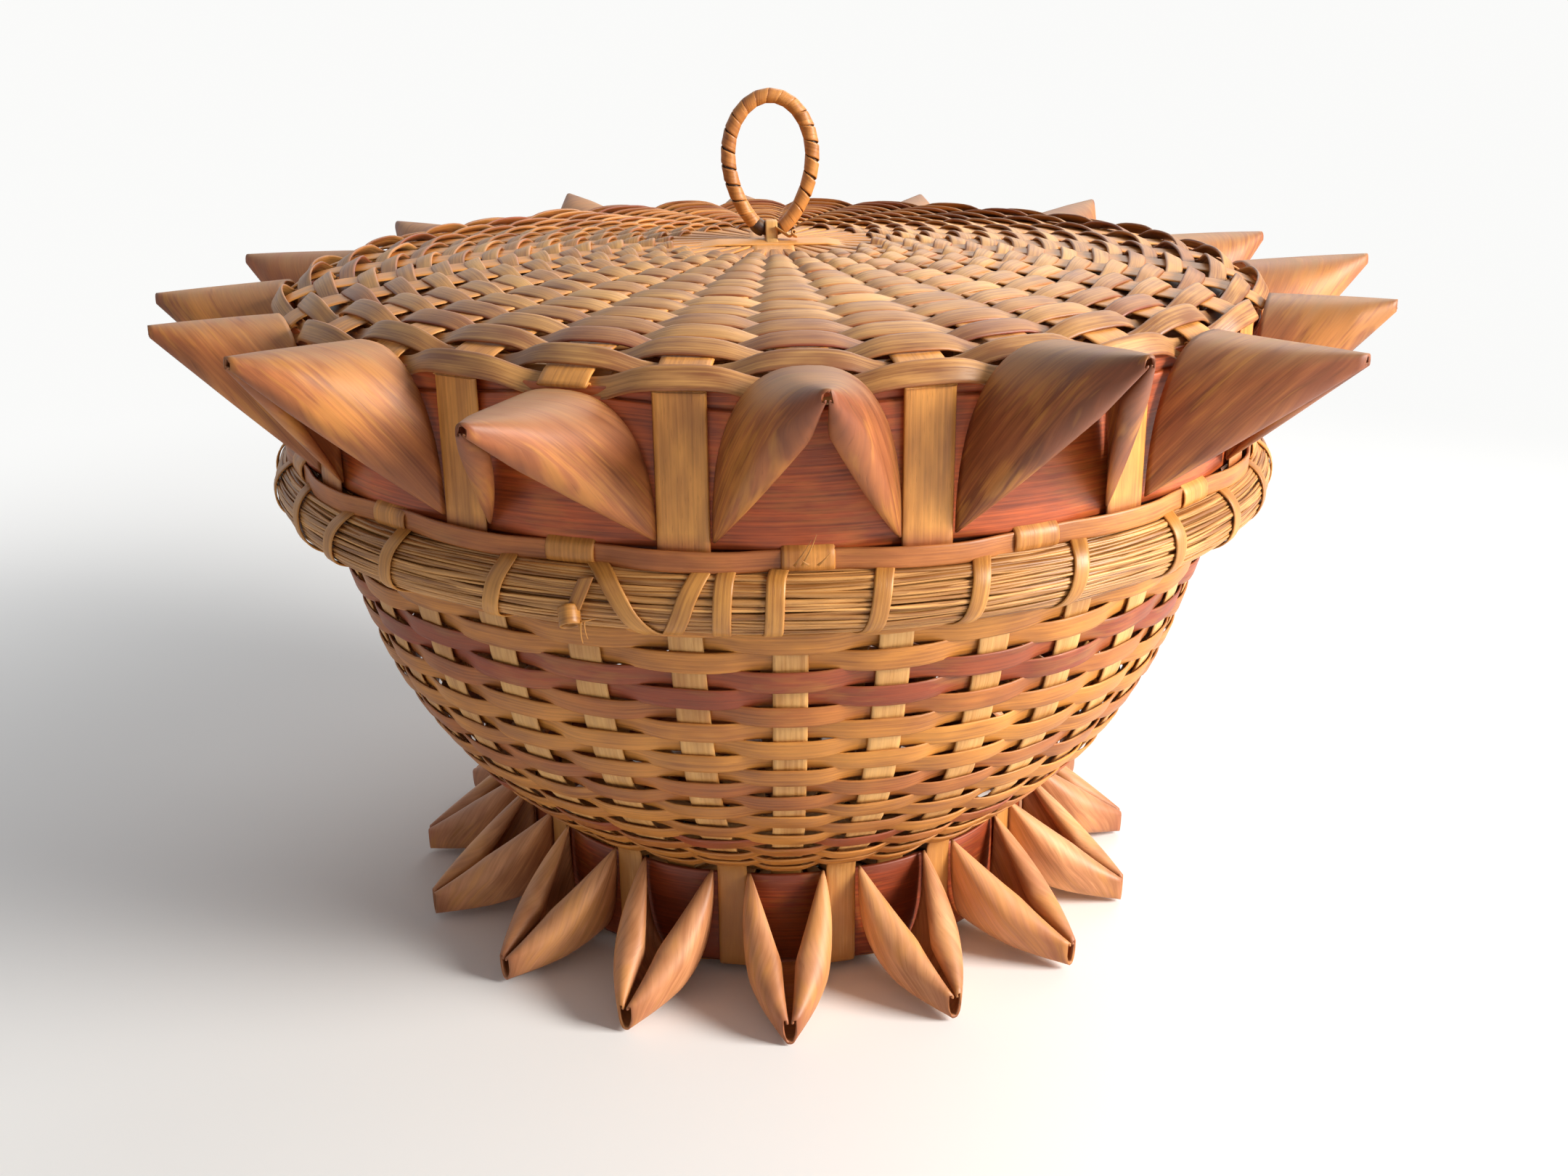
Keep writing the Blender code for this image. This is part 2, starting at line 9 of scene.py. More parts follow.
import bpy
import numpy as np
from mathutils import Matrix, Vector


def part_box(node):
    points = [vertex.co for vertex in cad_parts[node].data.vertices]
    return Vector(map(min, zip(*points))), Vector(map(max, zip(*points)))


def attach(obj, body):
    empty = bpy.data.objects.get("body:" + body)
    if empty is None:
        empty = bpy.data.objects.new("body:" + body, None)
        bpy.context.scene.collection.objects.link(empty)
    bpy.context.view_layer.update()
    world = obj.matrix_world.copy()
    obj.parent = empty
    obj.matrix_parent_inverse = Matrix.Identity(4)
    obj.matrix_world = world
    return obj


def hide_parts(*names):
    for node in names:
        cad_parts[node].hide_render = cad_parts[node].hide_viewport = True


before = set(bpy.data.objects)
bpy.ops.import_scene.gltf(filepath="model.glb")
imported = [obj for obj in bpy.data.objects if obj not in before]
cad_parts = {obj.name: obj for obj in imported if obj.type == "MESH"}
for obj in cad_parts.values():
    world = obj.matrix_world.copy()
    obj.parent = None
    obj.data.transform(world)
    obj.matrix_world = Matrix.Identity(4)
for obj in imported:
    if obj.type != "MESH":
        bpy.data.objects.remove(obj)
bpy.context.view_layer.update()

METRE = 1000.0
STAKES = 32
CURLS = 16
rng = np.random.default_rng(11)


def reach(node):
    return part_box(node)[1].x * METRE


def low(node):
    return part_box(node)[0].z * METRE


def high(node):
    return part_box(node)[1].z * METRE


# Places that follow from the frame
LID_TURN = np.radians(1.5)
STAKE_STEP = 2 * np.pi / STAKES
FOOT_RADIUS = reach("base_weave")
FOOT_TOP = low("side_weave")
NECK_RADIUS = reach("side_weave")
WEAVE_TOP = high("side_weave")
RIM_BOTTOM, RIM_TOP = low("rim_outer_hoop"), high("rim_outer_hoop")
RIM_MIDDLE = (RIM_TOP + RIM_BOTTOM) / 2
DOME_TOP = high("lid_top_weave")
LID_EDGE = low("lid_top_weave")
BAND_TOP, BAND_BOTTOM = high("lid_wide_band"), low("lid_wide_band")
GRASS_TOP, GRASS_BOTTOM = high("lid_grass_rim"), low("lid_grass_rim")
GRASS_MIDDLE = (GRASS_TOP + GRASS_BOTTOM) / 2
GRASS_HALF = (GRASS_TOP - GRASS_BOTTOM) / 2
LID_CORNER = 1.0022         # a turned wall's reach along x, over its radius
LID_RADIUS = reach("lid_top_weave") / LID_CORNER
BAND_RADIUS = reach("lid_wide_band") / LID_CORNER
GRASS_WALL = BAND_RADIUS - 0.6
GRASS_RADIUS = reach("lid_grass_rim") / LID_CORNER
HOOP_RADIUS = reach("lid_inner_hoop") / LID_CORNER

# Weave of the side
BELLY = (48.0, 76.6)        # height and radius
SHOULDER = (68.0, 85.2)
NECK_Z = 88.0
SIDE_ROWS = 30
SIDE_STAKE = 5.9
SIDE_PITCH_SHARE = 0.84     # the lowest rows' pitch, over the mean
SPLINT = 0.5                # thickness of a stake
WEAVER = 0.4                # thickness of a narrow weaver
SPOKE_SHARE = 0.75          # how much of the way round the spokes fill near the centre

# Weave of the lid
CROWN = DOME_TOP - 0.9      # the rows' height in the middle of the lid
DOME_RISE = 5.4
LID_CENTRE = 20.0           # where the lid's rows end and its crossed stakes show
LID_STAKE = 8.4
INNER_PITCH = 3.1           # of the lid's rows near its middle
PITCH_GAIN = 1.25           # how much wider the rows are at its edge
NARROW_MIDDLE = 101.3
NARROW_HEIGHT = 3.6
OUTER_BLADES, INNER_BLADES = 36, 24
LASHING_WIDTH = 3.0

# The handle's loop
HANDLE_FOOT = low("handle_loop") + 0.45  # the middle of its lowest part
CORE = 1.05                 # radius of the splints inside the winding
WOUND = 1.45                # radius with the winding
LOOP_HALF_WIDTH = 8.85
LOOP_HALF_HEIGHT = (high("handle_loop") - HANDLE_FOOT - WOUND) / 2


# Shapes

# A splint's section, in half widths and half thicknesses: flat, with rounded edges
SECTION = np.array([
    (-1.0, -0.2), (-0.94, 0.7), (-0.74, 1.0), (0.74, 1.0),
    (0.94, 0.7), (1.0, -0.2), (0.8, -1.0), (-0.8, -1.0),
])


def round_section(sides):
    angle = 2 * np.pi * np.arange(sides) / sides
    return np.stack([np.cos(angle), np.sin(angle)], 1)


def around(radius, azimuth, height):
    """Points at a radius, azimuth and height, as whole arrays."""
    radius, azimuth, height = np.broadcast_arrays(radius, azimuth, height)
    return np.stack([radius * np.sin(azimuth), -radius * np.cos(azimuth), height], -1)


def ring_azimuths(steps, start=np.pi):
    """Azimuths once round, from behind."""
    return start + np.linspace(0, 2 * np.pi, steps, endpoint=False)


def unit(vectors):
    return vectors / np.linalg.norm(vectors, axis=-1, keepdims=True)


def boxy(value, power):
    """A sine or cosine whose size is raised to a power below 1, which squares a circle."""
    return np.sign(value) * np.abs(value) ** power


def outline(points, ease):
    """Straight lines through (radius, height) points, read every quarter millimetre, with
    each corner rounded by averaging over a length of ease. Its outside lies to its right
    as it climbs."""
    fine = 0.25
    points = np.array(points, float)
    marks = np.append(0, np.cumsum(np.linalg.norm(np.diff(points, axis=0), axis=1)))
    even = np.linspace(0, marks[-1], int(marks[-1] / fine) + 1)
    line = np.stack([np.interp(even, marks, points[:, i]) for i in (0, 1)], 1)
    half = int(ease / fine / 2)
    padded = np.pad(line, ((half, half), (0, 0)), "reflect", reflect_type="odd")
    kernel = np.ones(2 * half + 1) / (2 * half + 1)
    return np.stack([np.convolve(padded[:, i], kernel, "valid") for i in (0, 1)], 1)


def length_of(line):
    return np.linalg.norm(np.diff(line, axis=0), axis=1).sum()


def follow(line, place):
    """Radius, height and the outward normal's two parts at distances along an outline."""
    marks = np.append(0, np.cumsum(np.linalg.norm(np.diff(line, axis=0), axis=1)))
    step = unit(np.gradient(line, axis=0))
    return [np.interp(place, marks, part)
            for part in (line[:, 0], line[:, 1], step[:, 1], -step[:, 0])]


def inset(line, depth=0.5):
    """An outline moved inwards along its normal."""
    marks = np.linspace(0, length_of(line), len(line))
    return line - depth * np.stack(follow(line, marks)[2:], 1)


def ribbon(line, facing, across, width, thick, section=SECTION):
    """A splint round a middle line: each corner of its section lies half the width along
    across and half the thickness along facing."""
    width, thick = (np.broadcast_to(size, line.shape[:-1])[..., None] for size in (width, thick))
    side = (section[:, 0] * width / 2)[..., None]
    deep = (section[:, 1] * thick / 2)[..., None]
    return line[..., None, :] + side * across[..., None, :] + deep * facing[..., None, :]


def grain_map(line, width, ring, section=SECTION):
    """Distance along each splint and across it, with a start of its own for each."""
    steps = np.linalg.norm(np.diff(line, axis=1), axis=2)
    if ring:
        last = np.linalg.norm(line[:, :1] - line[:, -1:], axis=2)
        steps = np.concatenate([steps, last], 1)
    along = np.concatenate([np.zeros((len(line), 1)), np.cumsum(steps, 1)], 1)
    starts = rng.uniform(0, 4000, (len(line), 1))
    across = section[:, 0] * np.broadcast_to(width, along.shape)[..., None] / 2
    across = across + rng.uniform(0, 400, (len(line), 1, 1))
    along = np.broadcast_to((along + starts)[..., None], across.shape)
    return np.stack([along, across], -1)


def splints(line, facing, across, width, thick, ring=False, dye=0.0, tone=0.0, section=SECTION):
    """A set of splints, one for each first index of line, ready for weave()."""
    points = ribbon(line, facing, across, width, thick, section)
    mean_width = np.broadcast_to(width, line.shape[:-1]).mean(1, keepdims=True)
    return {"points": points, "ring": ring, "dye": dye, "tone": tone,
            "grain": grain_map(line, mean_width, ring, section)}


def hoop(azimuth, radius, height, width, thick, dye=0.0, tone=0.0):
    """One upright splint bent to a ring, whose middle line has a radius and a height."""
    middle = around(radius, azimuth, height)[None]
    facing, across = around(1.0, azimuth, 0.0)[None], around(0.0, azimuth, 1.0)[None]
    return splints(middle, facing, across, width, thick, True, dye, tone)


def faces_of(part, first):
    """Corner numbers of the quads and of the end caps, with the grain map's corners."""
    count, rows, sides = part["points"].shape[:3]
    number = first + np.arange(count * rows * sides).reshape(count, rows, sides)
    upper = np.roll(number, -1, 1) if part["ring"] else number[:, 1:]
    lower = number if part["ring"] else number[:, :-1]
    quads = np.stack([lower, np.roll(lower, -1, 2), np.roll(upper, -1, 2), upper], -1)
    grain = part["grain"]
    below, above = grain[:, :-1], grain[:, 1:]
    maps = np.stack([below, np.roll(below, -1, 2), np.roll(above, -1, 2), above], -2)
    caps, cap_maps = np.empty((0, sides), int), np.empty((0, sides, 2))
    if not part["ring"]:
        caps = np.concatenate([number[:, 0, ::-1], number[:, -1]])
        cap_maps = np.concatenate([grain[:, 0, ::-1], grain[:, -1]])
    return quads.reshape(-1, 4), maps.reshape(-1, 4, 2), caps, cap_maps


def volume(points, quads):
    """Six times the volume inside the quads, below 0 if they face inwards."""
    a, b, c, d = (points[quads[:, i]] for i in range(4))
    return (np.einsum("ij,ij->i", a, np.cross(b, c)) + np.einsum("ij,ij->i", a, np.cross(c, d))).sum()


def new_object(name, data):
    thing = bpy.data.objects.new(name, data)
    bpy.context.scene.collection.objects.link(thing)
    return thing


def weave(name, parts, material, body, nodes):
    """One mesh object from sets of splints, with their grain as a UV map and their dye
    and tone as attributes, riding on a body in place of CAD nodes."""
    points = np.concatenate([part["points"].reshape(-1, 3) for part in parts])
    corners, sizes, maps = [], [], []
    first = 0
    for part in parts:
        quads, quad_maps, caps, cap_maps = faces_of(part, first)
        if volume(points, quads) < 0:
            quads, quad_maps = quads[:, ::-1], quad_maps[:, ::-1]
            caps, cap_maps = caps[:, ::-1], cap_maps[:, ::-1]
        for loops, loop_maps in ((quads, quad_maps), (caps, cap_maps)):
            corners.append(loops.ravel())
            maps.append(loop_maps.reshape(-1, 2))
            sizes.append(np.full(len(loops), loops.shape[1]))
        first += part["points"].size // 3
    corners, sizes, maps = (np.concatenate(each) for each in (corners, sizes, maps))

    mesh = bpy.data.meshes.new(name)
    mesh.vertices.add(len(points))
    mesh.vertices.foreach_set("co", (points / METRE).ravel())
    mesh.loops.add(len(corners))
    mesh.loops.foreach_set("vertex_index", corners)
    mesh.polygons.add(len(sizes))
    mesh.polygons.foreach_set("loop_start", np.append(0, np.cumsum(sizes)[:-1]))
    mesh.update(calc_edges=True)
    mesh.uv_layers.new(name="grain").data.foreach_set("uv", maps.ravel())
    for attribute in ("dye", "tone"):
        values = [np.broadcast_to(part[attribute], part["points"].shape[:3]).ravel() for part in parts]
        mesh.attributes.new(attribute, "FLOAT", "POINT").data.foreach_set("value", np.concatenate(values))
    mesh.shade_smooth()
    mesh.validate()
    mesh.materials.append(material)
    piece = new_object(name, mesh)
    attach(piece, body)
    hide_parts(*nodes)


def ripple(azimuth, size, waves):
    """A gentle unevenness round each ring: a few sines with starts of their own."""
    starts = rng.uniform(0, 2 * np.pi, (len(waves), len(azimuth), 1))
    return size * sum(np.sin(wave * azimuth + start) for wave, start in zip(waves, starts)) / len(waves)


def over_under(angle):
    """1 where a weaver passes over a stake, -1 where it passes under the next one."""
    steep = 1.5
    return np.tanh(steep * np.cos(angle)) / np.tanh(steep)


def weaver_rings(line, places, widths, swing, turn, steps, first_over=0, thick=WEAVER,
                 narrowing=0.1, sway=0.25, lean=0.0, dye=0.0, tone=0.0):
    """Rows of weavers on an outline: each is a ring at its own place, lifted off the
    outline along its normal by swing, over one stake and under the next. A flat splint bent
    to a ring wants to stand up, so it leans by some radians with its outer edge on the stake.
    Each ring is joined behind, under a stake."""
    rows = np.arange(len(places))[:, None] + first_over
    behind = np.pi + turn + STAKE_STEP * ((rows + 1) % 2)
    azimuth = ring_azimuths(steps, behind)
    place = np.asarray(places)[:, None] + ripple(azimuth, sway, (3, 7, 16, 24))
    radius, height, out, up = follow(line, place)
    phase = over_under((azimuth - turn) * CURLS + np.pi * rows)
    lift = np.reshape(swing, (-1, 1)) * phase * (1 + ripple(azimuth, 0.3, (5, 11, 19)))
    flat_width = np.asarray(widths)[:, None]
    width = flat_width * (1 - narrowing * (1 - phase ** 2))
    leaning = np.reshape(lean, (-1, 1)) + 0 * phase
    pivot = 0.42                    # how far from its middle it turns, over its width
    lift = lift + pivot * width * np.sin(leaning) * phase
    middle = around(radius + out * lift, azimuth, height + up * lift)
    out, up = (out * np.cos(leaning) + up * np.sin(leaning), up * np.cos(leaning) - out * np.sin(leaning))
    facing = around(out, azimuth, up)
    across = around(-up, azimuth, out)
    points = ribbon(middle, facing, across, width, thick)
    return {"points": points, "ring": True, "dye": dye, "tone": tone,
            "grain": grain_map(middle, flat_width, True)}


def stake_strips(line, place, azimuths, width, lift=0.0, dye=0.0, tone=0.0):
    """Stakes along an outline, each at its own azimuth and lifted off the outline."""
    radius, height, out, up = follow(line, place)
    turned = azimuths[:, None]
    middle = around(radius + out * lift, turned, height + up * lift)
    facing = around(out, turned, up)
    across = around(1.0, turned + np.pi / 2, 0.0)
    return splints(middle, facing, across, width, SPLINT, False, dye, tone)


def crossed_stakes(reach_out, top, layer_height, width, order, tone):
    """The stakes where all cross in the middle, straight and one on the other in the given
    order. Each lies level at its layer's height, and its ends sink in a straight slope to
    below the lowest layer, under the innermost rows. The top one lies a little to a side."""
    beside = 3.5
    along = np.linspace(-reach_out, reach_out, 41)[None, :]
    layer = np.arange(len(order))[:, None]
    turn = 2 * STAKE_STEP * np.array(order)[:, None] + rng.uniform(-0.03, 0.03, (len(order), 1))
    aside = np.where(layer < len(order) - 1, 0.0, -beside)
    tucked = np.clip((np.abs(along) / reach_out - 0.45) / 0.5, 0, 1)
    height = top - layer_height * ((len(order) - 1 - layer) + tucked * (layer + 1))
    line = around(along, turn, height) + around(aside, turn + np.pi / 2, 0.0)
    across = around(1.0, turn + np.pi / 2, 0.0)
    facing = around(0.0, turn, 1.0)
    return splints(line, facing, across, width, thick=0.45, tone=tone)


def wound_section(wall, middle, inner, outer, half_height):
    """The loop that a lashing follows round a rim, as functions of its share of a turn:
    from the top, down the inside as a box with round corners, and up the outside as half
    an ellipse."""
    def section(share):
        angle = 2 * np.pi * share
        x, z = -np.sin(angle), np.cos(angle)
        radius = wall + np.where(x < 0, inner * boxy(x, 0.35), outer * x)
        return radius, middle + half_height * boxy(z, np.where(x < 0, 0.5, 0.9))
    return section


def lashing_splint(section, bottoms, tops):
    """One splint wound round a rim: each turn climbs the outside from its bottom azimuth
    to its top azimuth and goes down the inside to the next bottom."""
    count, steps = len(bottoms), 40
    turn = np.linspace(0, count - 0.5, int((count - 0.5) * steps) + 1)
    radius, height = section((turn + 0.5) % 1.0)
    stations = np.stack([bottoms, tops], 1).ravel()
    azimuth = np.interp(2 * turn, np.arange(2 * count), stations)
    azimuth = np.convolve(np.pad(azimuth, 5, "edge"), np.ones(11) / 11, "valid")
    line = around(radius, azimuth, height)
    along = unit(np.gradient(line, axis=0))
    nearby = np.array(section((turn + 0.51) % 1.0)) - np.array(section((turn + 0.49) % 1.0))
    nearby = nearby / np.linalg.norm(nearby, axis=0)
    facing = around(nearby[1], azimuth, -nearby[0])
    across = unit(np.cross(along, facing))
    facing = np.cross(across, along)
    return splints(line[None], facing[None], across[None], LASHING_WIDTH, thick=0.4)


def fibres(starts, ends, width):
    """Frayed fibres from starts to ends, each a thin bowed splint that tapers."""
    share = np.linspace(0, 1, 8)[None, :, None]
    starts, ends = np.array(starts, float)[:, None], np.array(ends, float)[:, None]
    bow = 0.12 * np.sin(np.pi * share) * np.linalg.norm(ends - starts, axis=-1, keepdims=True)
    line = starts + (ends - starts) * share + bow * unit(starts * (1, 1, 0))
    facing = unit(line * (1, 1, 0))
    across = unit(np.cross(np.gradient(line, axis=1), facing))
    return splints(line, facing, across, width * (1.1 - share[..., 0]), thick=0.15)


def curl_skin(base, lean, feet, crests, half_widths, swell, tip, side, roll):
    """A splint curled to a horn against the wall, with v from the wall to the tip and each
    section from one free edge over the crest to the other. Over v the heights of its free
    edges and of its crest run straight, and so does its half width, with some swell
    between, and at the wall the crest leans out. Each section is a quarter of a slightly
    boxy ellipse to each side of the crest, whose end rolls inwards round a circle. That
    circle grows quickly from the wall and then shrinks with the section. The back is the
    outside moved in by the thickness. The grain map has the distance from the crest, less
    towards the tip, and the distance out along the curl, which the free edges start ahead,
    so that the lines are nested arches."""
    thick, rows, squared = 0.5, 30, 0.8
    v = np.linspace(0, 1, rows)[:, None]
    sign = np.sign(crests[0] - feet[0])
    edge = feet[0] * (1 - v) + feet[1] * v
    crest = crests[0] * (1 - v) + crests[1] * v
    straight = half_widths[0] * (1 - v) + half_widths[1] * v + swell * 4 * v * (1 - v)
    curl = np.minimum(0.3 + roll * (1 - (1 - v) ** 3), 0.52 * straight)
    wide = straight + 0.45 * curl
    arc = np.linspace(0, np.pi / 2, 18) + 0 * v
    spin = np.linspace(0, np.radians(215), 13)[1:] + 0 * v
    x = np.concatenate([wide * boxy(np.sin(arc), squared), wide - curl * (1 - np.cos(spin))], 1)
    tall = crest - edge - sign * curl
    z = np.concatenate([tall * boxy(np.cos(arc), squared), -sign * curl * np.sin(spin)], 1)
    z = z + edge + sign * curl
    bulge = np.concatenate([np.cos(arc), 0 * spin], 1)
    thin = np.concatenate([0 * arc + thick, np.minimum(thick, 0.7 * curl) + 0 * spin], 1)
    x = np.concatenate([-x[:, :0:-1], x], 1)
    z, bulge, thin = (np.concatenate([part[:, :0:-1], part], 1) for part in (z, bulge, thin))
    y = -np.sqrt((base + tip * v + lean * (1 - v) * bulge) ** 2 - x ** 2)
    outside = np.stack([x + side * v ** 1.5, y, z], -1)
    normal = unit(np.cross(np.gradient(outside, axis=0), np.gradient(outside, axis=1)))
    middle = x.shape[1] // 2
    normal *= np.sign(normal[rows // 2, middle, 2] * sign)
    back = outside - thin[..., None] * normal
    points = np.concatenate([outside, back[:, ::-1]], 1)
    steps = np.linalg.norm(np.diff(outside[rows // 4], axis=0), axis=1)
    leg = steps.sum() / 2
    from_crest = np.append(0, np.cumsum(steps)) / leg - 1 + 0 * v
    inwards = 1 - (1 - np.abs(from_crest) ** 1.6) * (1 - v)
    grain = np.stack([leg * from_crest * (1 - 0.85 * v), tip * inwards], -1)
    return points, np.concatenate([grain, grain[:, ::-1]], 1)


def curl_part(skin, azimuth, dye, tone):
    """A curl turned to its place. Its tip has kept the most dye."""
    points, grain = skin
    turned = points.copy()
    turned[..., 0] = points[..., 0] * np.cos(azimuth) - points[..., 1] * np.sin(azimuth)
    turned[..., 1] = points[..., 0] * np.sin(azimuth) + points[..., 1] * np.cos(azimuth)
    tipwards = np.linspace(0, 1, len(points))[None, :, None] ** 4
    return {"points": turned[None], "ring": False, "dye": dye + 0.5 * tipwards,
            "tone": tone - 0.25 * tipwards, "grain": (grain + rng.uniform(0, 900, 2))[None]}


# Materials

def srgb(code):
    """A hex colour as linear values."""
    values = np.array([int(code[i:i + 2], 16) for i in (1, 3, 5)]) / 255
    linear = np.where(values <= 0.04045, values / 12.92, ((values + 0.055) / 1.055) ** 2.4)
    return (*linear, 1.0)


def add(tree, kind, inputs, **settings):
    """Adds a node with its settings, its fixed inputs and its links."""
    made = tree.nodes.new(f"ShaderNode{kind}")
    for setting, value in settings.items():
        setattr(made, setting, value)
    for socket, value in inputs.items():
        if isinstance(value, bpy.types.NodeSocket):
            tree.links.new(value, made.inputs[socket])
        else:
            made.inputs[socket].default_value = value
    return made


def mix_colours(tree, share, first, second):
    """The Mix node's colour sockets share their names with its other sockets."""
    return add(tree, "Mix", {"Factor": share, 6: first, 7: second}, data_type="RGBA").outputs[2]


def new_material(name):
    material = bpy.data.materials.new(name)
    material.use_nodes = True
    return material, material.node_tree, material.node_tree.nodes["Principled BSDF"]


OFF_WHITE = (0.96, 0.96, 0.95, 1)
WOOD_IOR = 1.5
# On the curls, where the patches are strongest, the golden ones also stand in for streaky lit zones, a
# painted highlight
GOLD_AND_HIGHLIGHT, REDDENED = "#D8963E", "#8E4A2A"  # patches where the splint's colour has shifted


def ash_splint(name, pale, dark, dyed, roughness=0.45, painted_sheen=0.0, sheen_colour="#A58660",
               grain_depth=0.05, contrast=0.6, patchy=0.12, streak=26.0):
    """Pounded ash splint. The yearly ring that it was peeled from gives it straight open
    grain in lines about half a millimetre apart with dark pores, and dye has soaked in
    unevenly. Where it faces up it gets a painted sheen, greyed towards sheen_colour, which stands in
    for the reflection of light from above. The grain's lines are about a streak long and their relief a
    grain_depth deep, both in millimetres."""
    material, tree, shader = new_material(name)
    grain = add(tree, "UVMap", {}, uv_map="grain").outputs["UV"]
    place = add(tree, "TexCoord", {}).outputs["Object"]

    def streaks(length, width, detail):
        stretched = add(tree, "Mapping", {"Vector": grain, "Scale": (1 / length, 1 / width, 1)}).outputs[0]
        return add(tree, "TexNoise", {"Vector": stretched, "Scale": 1.0, "Detail": detail}).outputs["Fac"]

    def maths(way, first, second, clamp=False):
        return add(tree, "Math", {0: first, 1: second}, operation=way, use_clamp=clamp).outputs[0]

    def spread(value, start, end):
        return add(tree, "MapRange", {"Value": value, "From Min": start, "From Max": end}).outputs[0]

    def swing(value, strength):
        return maths("MULTIPLY", maths("SUBTRACT", value, 0.5), strength)

    # The length and width of each kind of streak in millimetres, and its detail
    lines = streaks(streak, 0.42, 3.0)
    pores = streaks(2.6, 0.17, 1.0)
    soft = streaks(11.0, 3.2, 2.0)
    flames = streaks(6.0, 0.9, 2.0)
    patches = add(tree, "TexNoise", {"Vector": place, "Scale": 60.0, "Detail": 2.0}).outputs["Fac"]
    tone = add(tree, "Attribute", {}, attribute_name="tone").outputs["Fac"]
    dye = add(tree, "Attribute", {}, attribute_name="dye").outputs["Fac"]

    light = 0.55
    for part, strength in ((lines, 2.6 * contrast), (soft, 1.5), (patches, 0.8)):
        light = maths("ADD", light, swing(part, strength))
    light = maths("ADD", light, tone, True)
    colour = mix_colours(tree, light, srgb(dark), srgb(pale))
    soaked = maths("MULTIPLY", dye, maths("ADD", spread(soft, 0.30, 0.62), 0.45, True), True)
    dyed_dark = (*(0.5 * value for value in srgb(dyed)[:3]), 1.0)
    colour = mix_colours(tree, soaked, colour, mix_colours(tree, light, dyed_dark, srgb(dyed)))
    specks = maths("MULTIPLY", spread(pores, 0.62, 0.75), 0.45)
    colour = mix_colours(tree, specks, colour, srgb(dark))
    # Golden and reddened patches of shifted colour; on the curls the golden ones partly stand in for lit
    # zones, a painted highlight
    flecked = maths("ADD", patches, swing(flames, 0.7))
    for start, end, shifted in ((0.5, 0.64, GOLD_AND_HIGHLIGHT), (0.47, 0.34, REDDENED)):
        share = maths("MULTIPLY", spread(flecked, start, end), patchy)
        colour = mix_colours(tree, share, colour, srgb(shifted))
    # Painted sheen: faces that point up are greyed towards sheen_colour in soft patches, standing in for the
    # reflection of light from above
    if painted_sheen:
        normal = add(tree, "NewGeometry", {}).outputs["Normal"]
        upward = add(tree, "SeparateXYZ", {"Vector": normal}).outputs["Z"]
        sheen_patches = maths("MULTIPLY", spread(soft, 0.2, 0.7), painted_sheen)
        sheen_share = maths("MULTIPLY", spread(upward, 0.35, 0.95), sheen_patches)
        colour = mix_colours(tree, sheen_share, colour, srgb(sheen_colour))
    tree.links.new(colour, shader.inputs["Base Color"])
    rough = add(tree, "MapRange", {"Value": soft, "To Min": roughness - 0.1,
                                    "To Max": roughness + 0.12}).outputs[0]
    tree.links.new(rough, shader.inputs["Roughness"])
    shader.inputs["IOR"].default_value = WOOD_IOR
    relief = maths("SUBTRACT", lines, maths("MULTIPLY", spread(pores, 0.6, 0.75), 0.5))
    bump = add(tree, "Bump", {"Height": relief, "Strength": 0.6, "Distance": grain_depth / METRE})
    tree.links.new(bump.outputs["Normal"], shader.inputs["Normal"])
    return material


def white_table():
    """A smooth white painted surface, matt enough to take a soft shadow. Away from the
    basket the camera sees it as plain white, which lights nothing."""
    material, tree, shader = new_material("matt_white_paint")
    shader.inputs["Base Color"].default_value = srgb("#F0F2F5")
    shader.inputs["Roughness"].default_value = 0.7
    place = add(tree, "TexCoord", {}).outputs["Object"]
    far = add(tree, "VectorMath", {0: place}, operation="LENGTH").outputs["Value"]
    fade = add(tree, "MapRange", {"Value": far, "From Min": 0.16, "From Max": 0.50},
               interpolation_type="SMOOTHSTEP").outputs[0]
    seen = add(tree, "LightPath", {}).outputs["Is Camera Ray"]
    share = add(tree, "Math", {0: fade, 1: seen}, operation="MULTIPLY").outputs[0]
    white = add(tree, "Emission", {"Color": OFF_WHITE, "Strength": 1.0}).outputs[0]
    both = add(tree, "MixShader", {0: share, 1: shader.outputs[0], 2: white}).outputs[0]
    tree.links.new(both, tree.nodes["Material Output"].inputs["Surface"])
    return material


# Honey gold and satin, with brown grain
natural_ash = ash_splint("natural_ash_weaver", "#CC8738", "#8A501E", "#9A3E1E", painted_sheen=0.2)
# Paler and drier from years of light on the lid, rosy where it is dyed, and with some painted sheen where it
# faces up
lid_weaver = ash_splint("greyed_ash_weaver", "#E0A860", "#7E4A22", "#A04E34", painted_sheen=0.35)
# Brick red, faded to the wood's own brown in places
dyed_weaver = ash_splint("faded_red_ash_weaver", "#CA8240", "#84481E", "#A04624", painted_sheen=0.1)
# Cream with little grain
cream_ash = ash_splint("cream_ash_stake", "#DCAA68", "#AC7438", "#B97547", contrast=0.5)
# Warm gold with soft grain
lid_ash = ash_splint("golden_ash_stake", "#E29C4C", "#985E28", "#A0502A", contrast=0.5)
# Deep orange red with dark grain that the dye brings out
dyed_band = ash_splint("red_dyed_ash_band", "#CC6028", "#7A3210", "#A03A1A", contrast=0.75)
# Red brown with flames of gold, which partly stand in for streaky lit zones, and a strong painted sheen that
# greys it where it faces up
curled_ash = ash_splint("curled_ash_overlay", "#CC7F42", "#6E3815", "#A05430", roughness=0.5,
                        painted_sheen=0.85, sheen_colour="#94714E", contrast=0.35, patchy=0.32,
                        grain_depth=0.03, streak=12.0)
# The same splint on the foot, with less painted sheen, and paler
foot_ash = ash_splint("rolled_ash_overlay", "#F0B07C", "#A26838", "#B0603C", roughness=0.5, painted_sheen=0.2,
                      contrast=0.35, patchy=0.3, grain_depth=0.03, streak=12.0)
